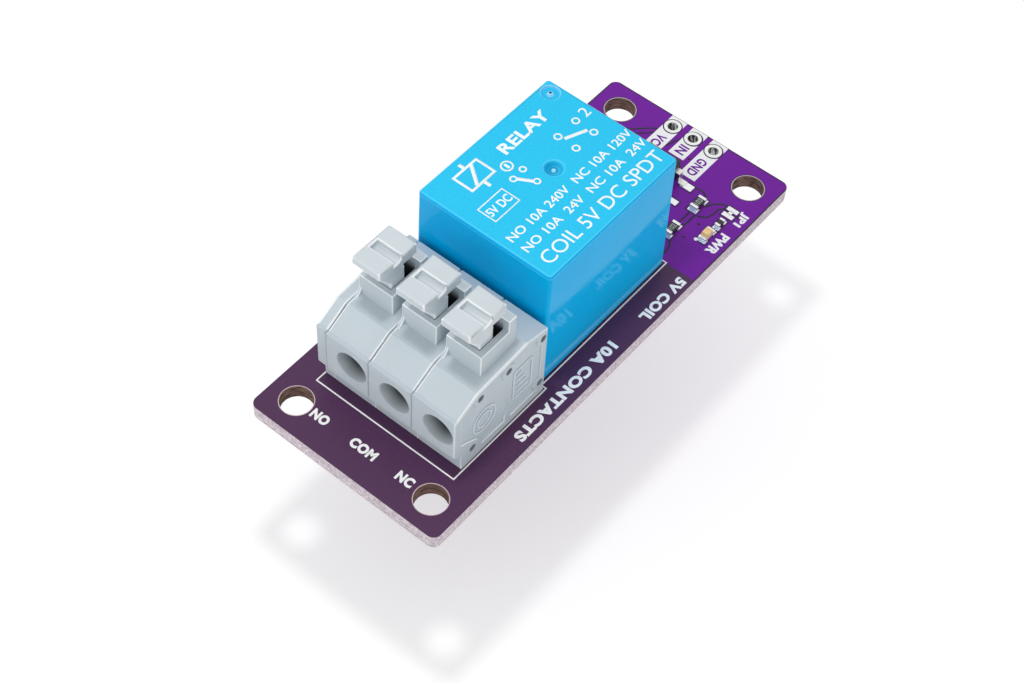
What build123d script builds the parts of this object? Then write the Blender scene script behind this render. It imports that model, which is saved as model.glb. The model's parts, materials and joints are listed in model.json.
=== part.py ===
from build123d import *
import os
from math import cos, radians, sin, tan

# Relay module board: a circuit board with a sealed power relay, a three pole spring clamp terminal
# block with push buttons, plated header holes and a few chip parts.
# Millimetres. The origin is the centre of the four fixing holes on the board's underside.
# X runs across the board, +Y from the wire terminals towards the header, +Z up.

# Circuit board
board_width = 22.0
board_length = 54.0
board_thickness = 1.6
board_corner_radius = 0.85
fixing_inset = 3.0
fixing_hole_radius = 1.6
pin_tail = 1.8
board_top = board_thickness

# Header holes
header_pitch = 2.54
header_edge_distance = 1.35
header_hole_radius = 0.55
plating_thickness = 0.05
header_ring_radius = 0.89
plating_clearance = 0.01

# Relay outline
relay_x = -0.225
relay_width = 15.3
relay_length = 18.65
relay_height = 14.94
relay_wall = 0.9
relay_draft = 0.48
relay_corner_chamfer = 0.25
relay_top_round = 0.3
cover_lift = 0.2
vent_inset = 1.3
vent_radius = 0.9
vent_depth = 0.25
vent_pip_radius = 0.25
gate_shift_x = -0.2
gate_shift_y = 0.9
gate_radius = 1.0
gate_depth = 0.45
gate_pip_radius = 0.22
gate_pip_height = 0.2

# Relay base and its pins
base_standoff = 0.3
base_thickness = 1.2
base_clearance = 0.06
base_foot_size = 1.1
base_foot_inset = 1.6
slot_clearance = 0.05
throw_pin_inset = 2.255
relay_pin_row = 12.0
coil_pin_step = 2.0
coil_pin_size = 0.6
coil_pin_rise = 1.2
contact_pin_width = 1.0
common_pin_width = 1.2
contact_thickness = 0.35
common_thickness = 0.4

# Relay magnet
yoke_back_inset = 2.395
yoke_thickness = 1.0
yoke_width = 9.0
yoke_bend_radius = 0.8
coil_height = 7.6
flange_thickness = 0.7
flange_width = 9.6
spool_radius = 2.75
winding_radius = 4.6
winding_clearance = 0.02
core_radius = 2.2
core_clearance = 0.05
core_tail_radius = 1.5
pole_radius = 3.4
pole_thickness = 0.8
ear_length = 1.35
ear_margin = 0.7

# Relay armature and contacts
armature_open_angle = 3.4
armature_thickness = 1.0
armature_length = 9.6
leaf_thickness = 0.15
contact_spring_width = 5.0
contact_spring_overhang = 1.3
contact_spring_radius = 0.3
contact_spring_tail = 3.4
contact_inset = 0.85
contact_head_radius = 1.25
contact_head_height = 0.3
contact_air = 0.05
contact_strip_width = 2.6
contact_strip_overlap = 1.4
contact_bend_radius = 0.4

# Terminal block outline
pole_count = 3
pole_pitch = 5.0
pole_seam = 0.04
block_center_x = -0.1
block_edge_distance = 6.05
end_plate_thickness = 1.2
end_plate_setback = 0.12
block_relay_gap = 0.395
block_depth = 12.65
foot_inset = 1.0
foot_height = 1.9
face_bottom = 2.8
face_top = 8.0
face_ledge = 0.45
ridge_run = 2.95
ridge_height = 9.4
crease_run = 9.65
crease_height = 9.9
back_height = 9.2
back_lean = 0.1
edge_chamfer = 0.1

# Terminal block inside
side_wall = 0.75
nose_depth = 3.5
rear_wall = 1.3
floor_thickness = 0.8
pocket_top = 7.75
wire_x = 3.05
wire_height = 5.47
wire_mouth_radius = 1.75
wire_bore_radius = 1.2
wire_funnel_depth = 1.2
peg_radius = 0.35
peg_length = 0.45
peg_clearance = 0.05
peg_sides = 8
peg_low = 1.75
peg_high = 8.3
peg_front_run = 2.55
peg_ridge_run = 3.4
peg_middle_run = 7.2
peg_back_inset = 0.7
recess_depth = 0.2
recess_front = 0.95
recess_back = 0.75
recess_sill = 1.0
recess_rim = 0.55
recess_face_low = 3.8
peg_boss = 0.85
peg_boss_top = 3.0
peg_boss_run = 3.75
boss_slope = 0.75
rib_run = 7.4
rib_half = 0.47
rib_height = 2.9
rib_shoulder = 1.8

# Button tower on each pole
tower_x = 2.15
tower_width = 3.6
tower_front = 4.5
tower_depth = 4.7
tower_rim = 12.0
post_depth = 1.0
post_height = 13.4
fin_foot_run = 0.85
fin_foot_rise = 0.35
fin_rise = 1.0
guide_front_wall = 0.58
guide_width = 2.24
guide_clearance = 0.05

# Push button
button_travel = 1.4
head_width = 3.2
head_overhang = 1.4
head_depth = 4.87
head_top = 16.1
lip_height = 0.8
skirt_bottom = 13.6
skirt_front = 1.3
skirt_back = 2.8
skirt_slope = 0.12
overhang_bottom = 14.8
groove_front = 1.9
groove_back = 2.95
groove_depth = 0.6
groove_side_wall = 0.4
head_round = 0.2
neck_depth = 1.82
leg_width = 0.72
leg_inset = 0.3
leg_bottom = 5.25

# Clamp spring and current bar
bar_thickness = 0.4
bar_width = 2.2
bar_gap = 0.1
bar_wire_gap = 0.03
bar_front_gap = 0.35
bar_back_gap = 0.3
bar_bend_radius = 0.5
foot_front = 4.6
solder_pin_width = 0.9
solder_pin_depth = 0.5
solder_pin_front = 5.7
solder_pin_pitch = 4.0
pin_slot_clearance = 0.1
clamp_thickness = 0.3
clamp_width = 3.1
clamp_bend_gap = 0.3
clamp_bend_height = 1.7
clamp_bend_radius = 0.5
clamp_tip_inset = 1.9

# Soldering
pin_hole_clearance = 0.15
solder_radius = 0.95
solder_height = 0.9
solder_rim = 0.1
solder_slope = 0.5
solder_sides = 12

# Chip parts, each placed by its X and its distance from the header's edge of the board
solder_film = 0.04
end_wrap = 0.03
resistor_length = 1.6
resistor_width = 0.8
resistor_height = 0.45
resistor_cap = 0.3
lamp_resistor_length = 1.0
lamp_resistor_width = 0.5
lamp_resistor_height = 0.35
lamp_resistor_cap = 0.25
input_resistor_spot = (5.57, 8.13)
pulldown_resistor_spot = (5.55, 12.4)
lamp_resistor_spot = (8.66, 8.75)
lamp_spot = (8.52, 10.73)
lamp_length = 1.6
lamp_width = 0.8
lamp_base_height = 0.3
lamp_cap = 0.3
lens_gap = 0.07
lens_height = 0.35
lens_draft = 8
diode_spot = (-0.2, 6.85)
diode_length = 4.2
diode_width = 1.7
diode_height = 1.9
diode_span = 6.6
diode_lead_width = 0.7
diode_lead_rise = 1.1
transistor_spot = (1.8, 9.35)
transistor_width = 1.3
transistor_length = 2.9
transistor_height = 0.95
transistor_span = 2.4
transistor_lead_width = 0.4
transistor_lead_pitch = 1.9
lead_thickness = 0.13
package_lift = 0.1
package_taper = 5
lead_knee_share = 0.4

os.makedirs("parts", exist_ok=True)


def side_plane(x):
    """Plane across X at x, its own axes along Y and Z."""
    return Plane(origin=(x, 0, 0), x_dir=(0, 1, 0), z_dir=(1, 0, 0))


def level(x, y, z):
    """Horizontal plane with its origin at a point."""
    return Plane(origin=(x, y, z))


# Circuit board
fixing_pitch_x = board_width - 2 * fixing_inset
fixing_pitch_y = board_length - 2 * fixing_inset
header_y = board_length / 2 - header_edge_distance
header_spots = [(step * header_pitch, header_y) for step in (-1, 0, 1)]
header_drill_radius = header_hole_radius + plating_thickness + plating_clearance

block_front_y = block_edge_distance - board_length / 2
block_back_y = block_front_y + block_depth
relay_front_y = block_back_y + block_relay_gap
relay_y = relay_front_y + relay_length / 2

yoke_back_y = relay_front_y + relay_length - yoke_back_inset
common_pin_y = yoke_back_y + common_thickness / 2
throw_pin_y = relay_front_y + throw_pin_inset
coil_pin_y = common_pin_y - coil_pin_step
coil_pin_spots = [(relay_x + side * relay_pin_row / 2, coil_pin_y) for side in (-1, 1)]
open_pin_x = relay_x + relay_pin_row / 2
closed_pin_x = relay_x - relay_pin_row / 2
throw_pin_spots = [(open_pin_x, throw_pin_y), (closed_pin_x, throw_pin_y)]

block_left_x = block_center_x - (pole_count * pole_pitch + end_plate_thickness) / 2
first_pole_x = block_left_x + end_plate_thickness
pole_starts = [first_pole_x + index * pole_pitch for index in range(pole_count)]
solder_pin_ys = [block_front_y + solder_pin_front + step * solder_pin_pitch for step in (0, 1)]
terminal_pin_spots = [(start + wire_x, y) for start in pole_starts for y in solder_pin_ys]


def pin_hole(width, depth):
    """Plated slot that passes a flat pin with room for solder."""
    Rectangle(width + 2 * pin_hole_clearance, depth + 2 * pin_hole_clearance, mode=Mode.SUBTRACT)


with BuildPart() as circuit_board:
    with BuildSketch(Plane.XY):
        RectangleRounded(board_width, board_length, board_corner_radius)
        with GridLocations(fixing_pitch_x, fixing_pitch_y, 2, 2):
            Circle(fixing_hole_radius, mode=Mode.SUBTRACT)
        with Locations(*header_spots):
            Circle(header_drill_radius, mode=Mode.SUBTRACT)
        with Locations(*coil_pin_spots):
            pin_hole(coil_pin_size, coil_pin_size)
        with Locations(*throw_pin_spots):
            pin_hole(contact_thickness, contact_pin_width)
        with Locations((relay_x, common_pin_y)):
            pin_hole(common_pin_width, common_thickness)
        with Locations(*terminal_pin_spots):
            pin_hole(solder_pin_width, solder_pin_depth)
    extrude(amount=board_thickness)
circuit_board.part.label = "circuit_board"
export_step(circuit_board.part, "parts/circuit_board.step")

# Plated header holes: a thin barrel through the board with a ring on each face
with BuildPart() as header_eyelets:
    with BuildSketch(Plane.XY):
        with Locations(*header_spots):
            Circle(header_hole_radius + plating_thickness)
            Circle(header_hole_radius, mode=Mode.SUBTRACT)
    extrude(amount=board_thickness)
    for ring_z in (board_top, -plating_thickness):
        with BuildSketch(Plane.XY.offset(ring_z)):
            with Locations(*header_spots):
                Circle(header_ring_radius)
                Circle(header_hole_radius, mode=Mode.SUBTRACT)
        extrude(amount=plating_thickness)
header_eyelets.part.label = "header_eyelets"
export_step(header_eyelets.part, "parts/header_eyelets.step")

# Relay cover: a moulded box open below, with a sealed vent and a gate mark on top
cover_bottom = board_top + cover_lift
relay_top = board_top + relay_height
draft_step = tan(radians(relay_draft))
vent_x = relay_x - relay_width / 2 + relay_height * draft_step + vent_inset
vent_y = relay_y + relay_length / 2 - relay_height * draft_step - vent_inset
gate_x = relay_x + gate_shift_x
gate_y = relay_y + gate_shift_y
gate_ball = (gate_radius ** 2 + gate_depth ** 2) / (2 * gate_depth)

with BuildPart() as relay_cover:
    with BuildSketch(level(relay_x, relay_y, cover_bottom)):
        Rectangle(relay_width, relay_length)
    extrude(amount=relay_height - cover_lift, taper=relay_draft)
    cover_faces = relay_cover.faces().sort_by(Axis.Z)
    flat_edges = cover_faces[0].edges() + cover_faces[-1].edges()
    corner_edges = [edge for edge in relay_cover.edges() if edge not in flat_edges]
    chamfer(corner_edges, length=relay_corner_chamfer)
    fillet(relay_cover.faces().sort_by(Axis.Z)[-1].edges(), radius=relay_top_round)
    with BuildSketch(level(relay_x, relay_y, cover_bottom)):
        Rectangle(relay_width - 2 * relay_wall, relay_length - 2 * relay_wall)
    extrude(amount=relay_height - cover_lift - relay_wall, taper=relay_draft, mode=Mode.SUBTRACT)
    with BuildSketch(level(vent_x, vent_y, relay_top)):
        Circle(vent_radius)
        Circle(vent_pip_radius, mode=Mode.SUBTRACT)
    extrude(amount=-vent_depth, mode=Mode.SUBTRACT)
    with Locations((gate_x, gate_y, relay_top + gate_ball - gate_depth)):
        Sphere(gate_ball, mode=Mode.SUBTRACT)
    with BuildSketch(level(gate_x, gate_y, relay_top - relay_wall)):
        Circle(gate_pip_radius)
    extrude(amount=relay_wall - gate_depth + gate_pip_height)
relay_cover.part.label = "relay_cover"
export_step(relay_cover.part, "parts/relay_cover.step")

# Relay base: a plate inside the cover's rim on four small feet, slotted for the pins
base_bottom = board_top + base_standoff
base_top = base_bottom + base_thickness
base_shrink = 2 * (relay_wall + base_clearance + (base_standoff - cover_lift) * draft_step)
base_width = relay_width - base_shrink
base_length = relay_length - base_shrink

with BuildPart() as relay_base:
    with BuildSketch(level(relay_x, relay_y, base_bottom)):
        Rectangle(base_width, base_length)
    extrude(amount=base_thickness, taper=relay_draft)
    with BuildSketch(level(relay_x, relay_y, board_top)):
        with GridLocations(base_width - 2 * base_foot_inset, base_length - 2 * base_foot_inset, 2, 2):
            Rectangle(base_foot_size, base_foot_size)
    extrude(amount=base_standoff)
    with BuildSketch(Plane.XY.offset(base_bottom)):
        with Locations(*coil_pin_spots):
            Rectangle(coil_pin_size + 2 * slot_clearance, coil_pin_size + 2 * slot_clearance)
        with Locations(*throw_pin_spots):
            Rectangle(contact_thickness + 2 * slot_clearance, contact_pin_width + 2 * slot_clearance)
        with Locations((relay_x, common_pin_y)):
            Rectangle(common_pin_width + 2 * slot_clearance, common_thickness + 2 * slot_clearance)
    extrude(amount=base_thickness, mode=Mode.SUBTRACT)
relay_base.part.label = "relay_base"
export_step(relay_base.part, "parts/relay_base.step")

# Yoke: a bent steel bar under the coil and up behind it
yoke_top = base_top + yoke_thickness
hinge_z = yoke_top + coil_height + pole_thickness
yoke_inner_y = yoke_back_y - yoke_thickness
coil_y = yoke_inner_y - winding_clearance - flange_width / 2
yoke_front_y = coil_y - flange_width / 2

with BuildPart() as relay_yoke:
    with BuildSketch(side_plane(relay_x)) as yoke_profile:
        with BuildLine():
            Polyline(
                (yoke_front_y, base_top),
                (yoke_back_y, base_top),
                (yoke_back_y, hinge_z),
                (yoke_inner_y, hinge_z),
                (yoke_inner_y, yoke_top),
                (yoke_front_y, yoke_top),
                close=True,
            )
        make_face()
        fillet(yoke_profile.vertices().sort_by_distance((yoke_back_y, base_top))[0], radius=yoke_bend_radius)
    extrude(amount=yoke_width / 2, both=True)
    with BuildSketch(level(relay_x, coil_y, base_top)):
        Circle(core_tail_radius + winding_clearance)
    extrude(amount=yoke_thickness, mode=Mode.SUBTRACT)
relay_yoke.part.label = "relay_yoke"
export_step(relay_yoke.part, "parts/relay_yoke.step")

# Core: riveted tail, round bar and pole face
with BuildPart() as coil_core:
    with BuildSketch(level(relay_x, coil_y, base_top)):
        Circle(core_tail_radius)
    extrude(amount=yoke_thickness)
    with BuildSketch(level(relay_x, coil_y, yoke_top)):
        Circle(core_radius)
    extrude(amount=coil_height)
    with BuildSketch(level(relay_x, coil_y, yoke_top + coil_height)):
        Circle(pole_radius)
    extrude(amount=pole_thickness)
coil_core.part.label = "coil_core"
export_step(coil_core.part, "parts/coil_core.step")

# Bobbin: two flanges on a spool, with ears that hold the coil's pins
flange_back_y = coil_y + flange_width / 2
ear_span = relay_pin_row + 2 * ear_margin

with BuildPart() as coil_bobbin:
    with BuildSketch(level(relay_x, coil_y, yoke_top)):
        Rectangle(flange_width, flange_width)
    extrude(amount=flange_thickness)
    with BuildSketch(level(relay_x, flange_back_y - ear_length / 2, yoke_top)):
        Rectangle(ear_span, ear_length)
    extrude(amount=flange_thickness)
    with BuildSketch(level(relay_x, coil_y, yoke_top)):
        Circle(spool_radius)
    extrude(amount=coil_height)
    with BuildSketch(level(relay_x, coil_y, yoke_top + coil_height - flange_thickness)):
        Rectangle(flange_width, flange_width)
    extrude(amount=flange_thickness)
    with BuildSketch(level(relay_x, coil_y, yoke_top)):
        Circle(core_radius + core_clearance)
    extrude(amount=coil_height, mode=Mode.SUBTRACT)
    with BuildSketch(Plane.XY.offset(yoke_top)):
        with Locations(*coil_pin_spots):
            Rectangle(coil_pin_size + 2 * slot_clearance, coil_pin_size + 2 * slot_clearance)
    extrude(amount=flange_thickness, mode=Mode.SUBTRACT)
coil_bobbin.part.label = "coil_bobbin"
export_step(coil_bobbin.part, "parts/coil_bobbin.step")

# Winding: the wound wire as one ring between the flanges
with BuildPart() as coil_winding:
    with BuildSketch(level(relay_x, coil_y, yoke_top + flange_thickness)):
        Circle(winding_radius)
        Circle(spool_radius + winding_clearance, mode=Mode.SUBTRACT)
    extrude(amount=coil_height - 2 * flange_thickness)
coil_winding.part.label = "coil_winding"
export_step(coil_winding.part, "parts/coil_winding.step")

# Coil pins: square wires through the ears, the base and the board
with BuildPart() as coil_pins:
    with BuildSketch(Plane.XY.offset(-pin_tail)):
        with Locations(*coil_pin_spots):
            Rectangle(coil_pin_size, coil_pin_size)
    extrude(amount=pin_tail + yoke_top + flange_thickness + coil_pin_rise)
coil_pins.part.label = "coil_pins"
export_step(coil_pins.part, "parts/coil_pins.step")

# Armature: a steel flap that stands open on the yoke's back edge
contact_reach = common_pin_y - throw_pin_y - contact_inset
open_sin = sin(radians(armature_open_angle))
open_cos = cos(radians(armature_open_angle))


def on_armature(reach, height):
    """Point in Y and Z at a reach from the hinge and a height over the armature's underside."""
    y = yoke_back_y - reach * open_cos + height * open_sin
    z = hinge_z + reach * open_sin + height * open_cos
    return y, z


def armature_plane(reach, height):
    """Plane along the open armature, with its origin at a reach and a height."""
    y, z = on_armature(reach, height)
    return Plane(origin=(relay_x, y, z), x_dir=(1, 0, 0), z_dir=(0, open_sin, open_cos))


with BuildPart() as armature:
    with BuildSketch(armature_plane(armature_length / 2, 0)):
        Rectangle(yoke_width, armature_length)
    extrude(amount=armature_thickness)
armature.part.label = "armature"
export_step(armature.part, "parts/armature.step")

# Contact spring: a leaf on the armature that bends over the heel and down behind the yoke
spring_back_y = yoke_back_y + common_thickness
heel_rise = (spring_back_y - yoke_back_y - armature_thickness * open_sin) / open_cos
spring_heel = on_armature(-heel_rise, armature_thickness)
spring_tip = on_armature(contact_reach + contact_spring_overhang, armature_thickness)

with BuildPart() as contact_spring:
    with BuildSketch(side_plane(relay_x)):
        with BuildLine():
            FilletPolyline(
                spring_tip,
                spring_heel,
                (spring_back_y, spring_heel[1] - contact_spring_tail),
                radius=contact_spring_radius,
            )
            offset(amount=leaf_thickness, side=Side.LEFT)
        make_face()
    extrude(amount=contact_spring_width / 2, both=True)
contact_spring.part.label = "contact_spring"
export_step(contact_spring.part, "parts/contact_spring.step")

# Moving contact: a button on each face of the spring's tip
with BuildPart() as moving_contact:
    with BuildSketch(armature_plane(contact_reach, armature_thickness - contact_head_height)):
        Circle(contact_head_radius)
    extrude(amount=contact_head_height)
    with BuildSketch(armature_plane(contact_reach, armature_thickness + leaf_thickness)):
        Circle(contact_head_radius)
    extrude(amount=contact_head_height)
moving_contact.part.label = "moving_contact"
export_step(moving_contact.part, "parts/moving_contact.step")

# Fixed contacts: the closed one above the moving contact at rest, the open one below it
contact_y = on_armature(contact_reach, 0)[0]
moving_height = armature_thickness + leaf_thickness + contact_head_height
moving_top = on_armature(contact_reach + contact_head_radius, moving_height)[1]
closed_head_z = moving_top + contact_air
open_head_z = hinge_z + armature_thickness - contact_head_height - contact_air
closed_strip_z = closed_head_z + contact_head_height
open_strip_z = open_head_z - contact_head_height - contact_thickness

with BuildPart() as fixed_contacts:
    for head_z in (closed_head_z, open_head_z - contact_head_height):
        with BuildSketch(level(relay_x, contact_y, head_z)):
            Circle(contact_head_radius)
        extrude(amount=contact_head_height)
fixed_contacts.part.label = "fixed_contacts"
export_step(fixed_contacts.part, "parts/fixed_contacts.step")

# Fixed contact terminals: a strip up from the pin that turns in over the contact gap
throw_plane = Plane(origin=(0, contact_y, 0), x_dir=(1, 0, 0), z_dir=(0, -1, 0))

for name, pin_x, strip_z in (
    ("normally_open_terminal", open_pin_x, open_strip_z),
    ("normally_closed_terminal", closed_pin_x, closed_strip_z),
):
    outward = 1 if pin_x > relay_x else -1
    outer_x = pin_x + outward * contact_thickness / 2
    inner_x = pin_x - outward * contact_thickness / 2
    strip_end_x = relay_x - outward * contact_strip_overlap
    with BuildPart() as throw_terminal:
        with BuildSketch(throw_plane) as throw_profile:
            with BuildLine():
                Polyline(
                    (outer_x, base_top),
                    (outer_x, strip_z + contact_thickness),
                    (strip_end_x, strip_z + contact_thickness),
                    (strip_end_x, strip_z),
                    (inner_x, strip_z),
                    (inner_x, base_top),
                    close=True,
                )
            make_face()
            fillet(throw_profile.vertices().sort_by_distance((outer_x, strip_z + contact_thickness))[0],
                   radius=contact_bend_radius)
        extrude(amount=contact_strip_width / 2, both=True)
        with BuildSketch(level(pin_x, throw_pin_y, -pin_tail)):
            Rectangle(contact_thickness, contact_pin_width)
        extrude(amount=pin_tail + base_top)
    throw_terminal.part.label = name
    export_step(throw_terminal.part, f"parts/{name}.step")

# Common terminal: a plate on the yoke's back with its pin below
with BuildPart() as common_terminal:
    with BuildSketch(level(relay_x, common_pin_y, base_top)):
        Rectangle(contact_spring_width, common_thickness)
    extrude(amount=coil_height)
    with BuildSketch(level(relay_x, common_pin_y, -pin_tail)):
        Rectangle(common_pin_width, common_thickness)
    extrude(amount=pin_tail + base_top)
common_terminal.part.label = "common_terminal"
export_step(common_terminal.part, "parts/common_terminal.step")

# Terminal block outline, front to back, in Y and Z
face_z = board_top + face_bottom
block_outline = [
    (block_front_y + foot_inset, board_top),
    (block_front_y + foot_inset, board_top + foot_height),
    (block_front_y, face_z),
    (block_front_y, board_top + face_top),
    (block_front_y + face_ledge, board_top + face_top),
    (block_front_y + ridge_run, board_top + ridge_height),
    (block_front_y + crease_run, board_top + crease_height),
    (block_back_y - back_lean, board_top + back_height),
    (block_back_y, board_top),
]
peg_spots = [
    (block_front_y + peg_front_run, board_top + peg_low),
    (block_front_y + peg_ridge_run, board_top + peg_high),
    (block_front_y + peg_middle_run, board_top + peg_high),
    (block_back_y - peg_back_inset, board_top + peg_high),
    (block_back_y - peg_back_inset, board_top + peg_low),
]
recess_front_y = block_front_y + recess_front
recess_back_y = block_back_y - recess_back
sill_z = board_top + recess_sill
boss_y = block_front_y + peg_boss_run
rib_y = block_front_y + rib_run
recess_outline = [
    (recess_front_y, board_top + recess_face_low),
    (recess_front_y, board_top + face_top - recess_rim / 2),
    (block_front_y + ridge_run, board_top + ridge_height - recess_rim),
    (block_front_y + crease_run, board_top + crease_height - recess_rim),
    (recess_back_y, board_top + back_height - recess_rim),
    (recess_back_y, sill_z),
    (rib_y + rib_half, sill_z),
    (rib_y + rib_half, board_top + rib_shoulder),
    (rib_y, board_top + rib_height),
    (rib_y - rib_half, board_top + rib_shoulder),
    (rib_y - rib_half, sill_z),
    (boss_y, sill_z),
    (boss_y, board_top + rib_shoulder),
    (boss_y - boss_slope, board_top + peg_boss_top - boss_slope / 2),
    (recess_front_y + boss_slope, board_top + recess_face_low - boss_slope / 2),
]
seam_half = pole_seam / 2
pocket_floor = board_top + floor_thickness
pocket_ceiling = board_top + pocket_top
pocket_front_y = block_front_y + nose_depth
pocket_back_y = block_back_y - rear_wall
tower_front_y = block_front_y + tower_front
tower_back_y = tower_front_y + tower_depth
fin_foot_z = board_top + ridge_height
fin_outline = [
    (tower_front_y - fin_foot_run, pocket_ceiling),
    (tower_front_y - fin_foot_run, fin_foot_z),
    (tower_front_y - fin_foot_rise, fin_foot_z + fin_foot_rise),
    (tower_front_y, fin_foot_z + fin_rise),
    (tower_front_y, board_top + tower_rim),
    (tower_back_y, board_top + tower_rim),
    (tower_back_y, pocket_ceiling),
]
guide_front_y = tower_front_y + guide_front_wall
guide_back_y = tower_back_y - post_depth
post_y = guide_back_y + post_depth / 2
pin_slot_width = solder_pin_width + 2 * pin_slot_clearance
pin_slot_depth = solder_pin_depth + 2 * pin_slot_clearance
wire_z = board_top + wire_height


for pole, start in enumerate(pole_starts, 1):
    left_x = start + seam_half
    right_x = start + pole_pitch - seam_half
    wire_entry = Plane(origin=(start + wire_x, block_front_y, wire_z), x_dir=(1, 0, 0), z_dir=(0, 1, 0))
    with BuildPart() as housing:
        with BuildSketch(side_plane(left_x)):
            Polygon(*block_outline, align=None)
        extrude(amount=right_x - left_x)
        chamfer(housing.faces().filter_by(Axis.X).edges().filter_by(
            lambda edge: edge.center().Z > board_top + foot_height / 2), length=edge_chamfer)
        with BuildSketch(level(start + tower_x, tower_front_y + tower_depth / 2, pocket_ceiling)):
            Rectangle(tower_width, tower_depth)
        extrude(amount=tower_rim - pocket_top)
        with BuildSketch(level(start + tower_x, post_y, pocket_ceiling)):
            Rectangle(tower_width, post_depth)
        extrude(amount=post_height - pocket_top)
        with BuildSketch(side_plane(left_x)):
            Polygon(*fin_outline, align=None)
        extrude(amount=tower_x - tower_width / 2 - seam_half)
        with BuildSketch(side_plane(left_x)):
            Polygon(
                (pocket_front_y, pocket_floor),
                (pocket_front_y, pocket_ceiling),
                (pocket_back_y, pocket_ceiling),
                (pocket_back_y, pocket_floor),
                align=None,
            )
        extrude(amount=pole_pitch - side_wall - seam_half, mode=Mode.SUBTRACT)
        with BuildSketch(level(start + tower_x, (guide_front_y + guide_back_y) / 2, pocket_ceiling)):
            Rectangle(guide_width, guide_back_y - guide_front_y)
        extrude(amount=post_height - pocket_top, mode=Mode.SUBTRACT)
        with BuildSketch(wire_entry):
            Circle(wire_bore_radius)
        extrude(amount=nose_depth, mode=Mode.SUBTRACT)
        with BuildSketch(wire_entry):
            Circle(wire_mouth_radius)
        with BuildSketch(wire_entry.offset(wire_funnel_depth)):
            Circle(wire_bore_radius)
        loft(mode=Mode.SUBTRACT)
        with BuildSketch(Plane.XY.offset(board_top)):
            with Locations(*[(start + wire_x, y) for y in solder_pin_ys]):
                Rectangle(pin_slot_width, pin_slot_depth)
        extrude(amount=floor_thickness, mode=Mode.SUBTRACT)
        with BuildSketch(side_plane(right_x)):
            Polygon(*recess_outline, align=None)
            with Locations(*peg_spots[1:]):
                RegularPolygon(peg_boss, peg_sides, mode=Mode.SUBTRACT)
        extrude(amount=-recess_depth, mode=Mode.SUBTRACT)
        with BuildSketch(side_plane(right_x)):
            with Locations(*peg_spots):
                RegularPolygon(peg_radius + peg_clearance, peg_sides)
        extrude(amount=-(peg_length + peg_clearance), mode=Mode.SUBTRACT)
        with BuildSketch(side_plane(left_x)):
            with Locations(*peg_spots):
                RegularPolygon(peg_radius, peg_sides)
        extrude(amount=-(peg_length - pole_seam))
    housing.part.label = f"terminal_housing_{pole}"
    export_step(housing.part, f"parts/terminal_housing_{pole}.step")

# End plate: closes the first pole's open side
plate_outline = [(max(y, block_front_y + end_plate_setback), z) for y, z in block_outline]
with BuildPart() as end_plate:
    with BuildSketch(side_plane(block_left_x)):
        Polygon(*plate_outline, align=None)
    extrude(amount=end_plate_thickness - seam_half)
    chamfer(end_plate.faces().filter_by(Axis.X).edges().filter_by(
        lambda edge: edge.center().Z > board_top + foot_height / 2), length=edge_chamfer)
    with BuildSketch(side_plane(first_pole_x - seam_half)):
        with Locations(*peg_spots):
            RegularPolygon(peg_radius + peg_clearance, peg_sides)
    extrude(amount=-(peg_length + peg_clearance), mode=Mode.SUBTRACT)
end_plate.part.label = "terminal_end_plate"
export_step(end_plate.part, "parts/terminal_end_plate.step")

# Push buttons: a grooved head on a neck, with a leg that reaches past the wire to the spring
head_front_y = tower_front_y - head_overhang
head_back_y = head_front_y + head_depth
head_top_z = board_top + head_top
neck_front_y = guide_front_y + guide_clearance
neck_y = neck_front_y + neck_depth / 2
neck_width = guide_width - 2 * guide_clearance
leg_z = board_top + leg_bottom
bar_top_z = wire_z + wire_bore_radius + bar_wire_gap + bar_thickness
neck_bottom_z = bar_top_z + button_travel + contact_air
head_outline = [
    (head_front_y, head_top_z - lip_height),
    (head_front_y, head_top_z),
    (head_back_y, head_top_z),
    (head_back_y, board_top + overhang_bottom),
    (head_front_y + skirt_back + skirt_slope, board_top + overhang_bottom),
    (head_front_y + skirt_back, board_top + skirt_bottom),
    (head_front_y + skirt_front, board_top + skirt_bottom),
]

for pole, start in enumerate(pole_starts, 1):
    head_left_x = start + tower_x - head_width / 2
    neck_left_x = start + tower_x - neck_width / 2
    with BuildPart() as button:
        with BuildSketch(side_plane(head_left_x)):
            Polygon(*head_outline, align=None)
        extrude(amount=head_width)
        fillet(button.faces().sort_by(Axis.Z)[-1].edges(), radius=head_round)
        with BuildSketch(side_plane(head_left_x + groove_side_wall)):
            with BuildLine():
                groove_start = (head_front_y + groove_front, head_top_z)
                groove_foot = (head_front_y + groove_front, head_top_z - groove_depth)
                groove_low = (head_front_y + groove_back - groove_depth, head_top_z - groove_depth)
                groove_end = (head_front_y + groove_back, head_top_z)
                Polyline(groove_end, groove_start, groove_foot, groove_low)
                RadiusArc(groove_low, groove_end, -groove_depth)
            make_face()
        extrude(amount=head_width - groove_side_wall, mode=Mode.SUBTRACT)
        with BuildSketch(level(start + tower_x, neck_y, neck_bottom_z)):
            Rectangle(neck_width, neck_depth)
        extrude(amount=board_top + skirt_bottom - neck_bottom_z)
        with BuildSketch(level(neck_left_x + leg_width / 2, neck_y, leg_z)):
            Rectangle(leg_width, neck_depth - 2 * leg_inset)
        extrude(amount=neck_bottom_z - leg_z)
        fillet(button.faces().sort_by(Axis.Z)[0].edges().filter_by(Axis.X), radius=head_round)
    button.part.label = f"push_button_{pole}"
    export_step(button.part, f"parts/push_button_{pole}.step")

# Current bars: a strip over the wire, down behind it and along the floor, on two solder pins
bar_front_y = pocket_front_y + bar_front_gap
bar_inner_y = pocket_back_y - bar_back_gap - bar_thickness
bar_inner_top = bar_top_z - bar_thickness
bar_foot_top = pocket_floor + bar_thickness

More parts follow.
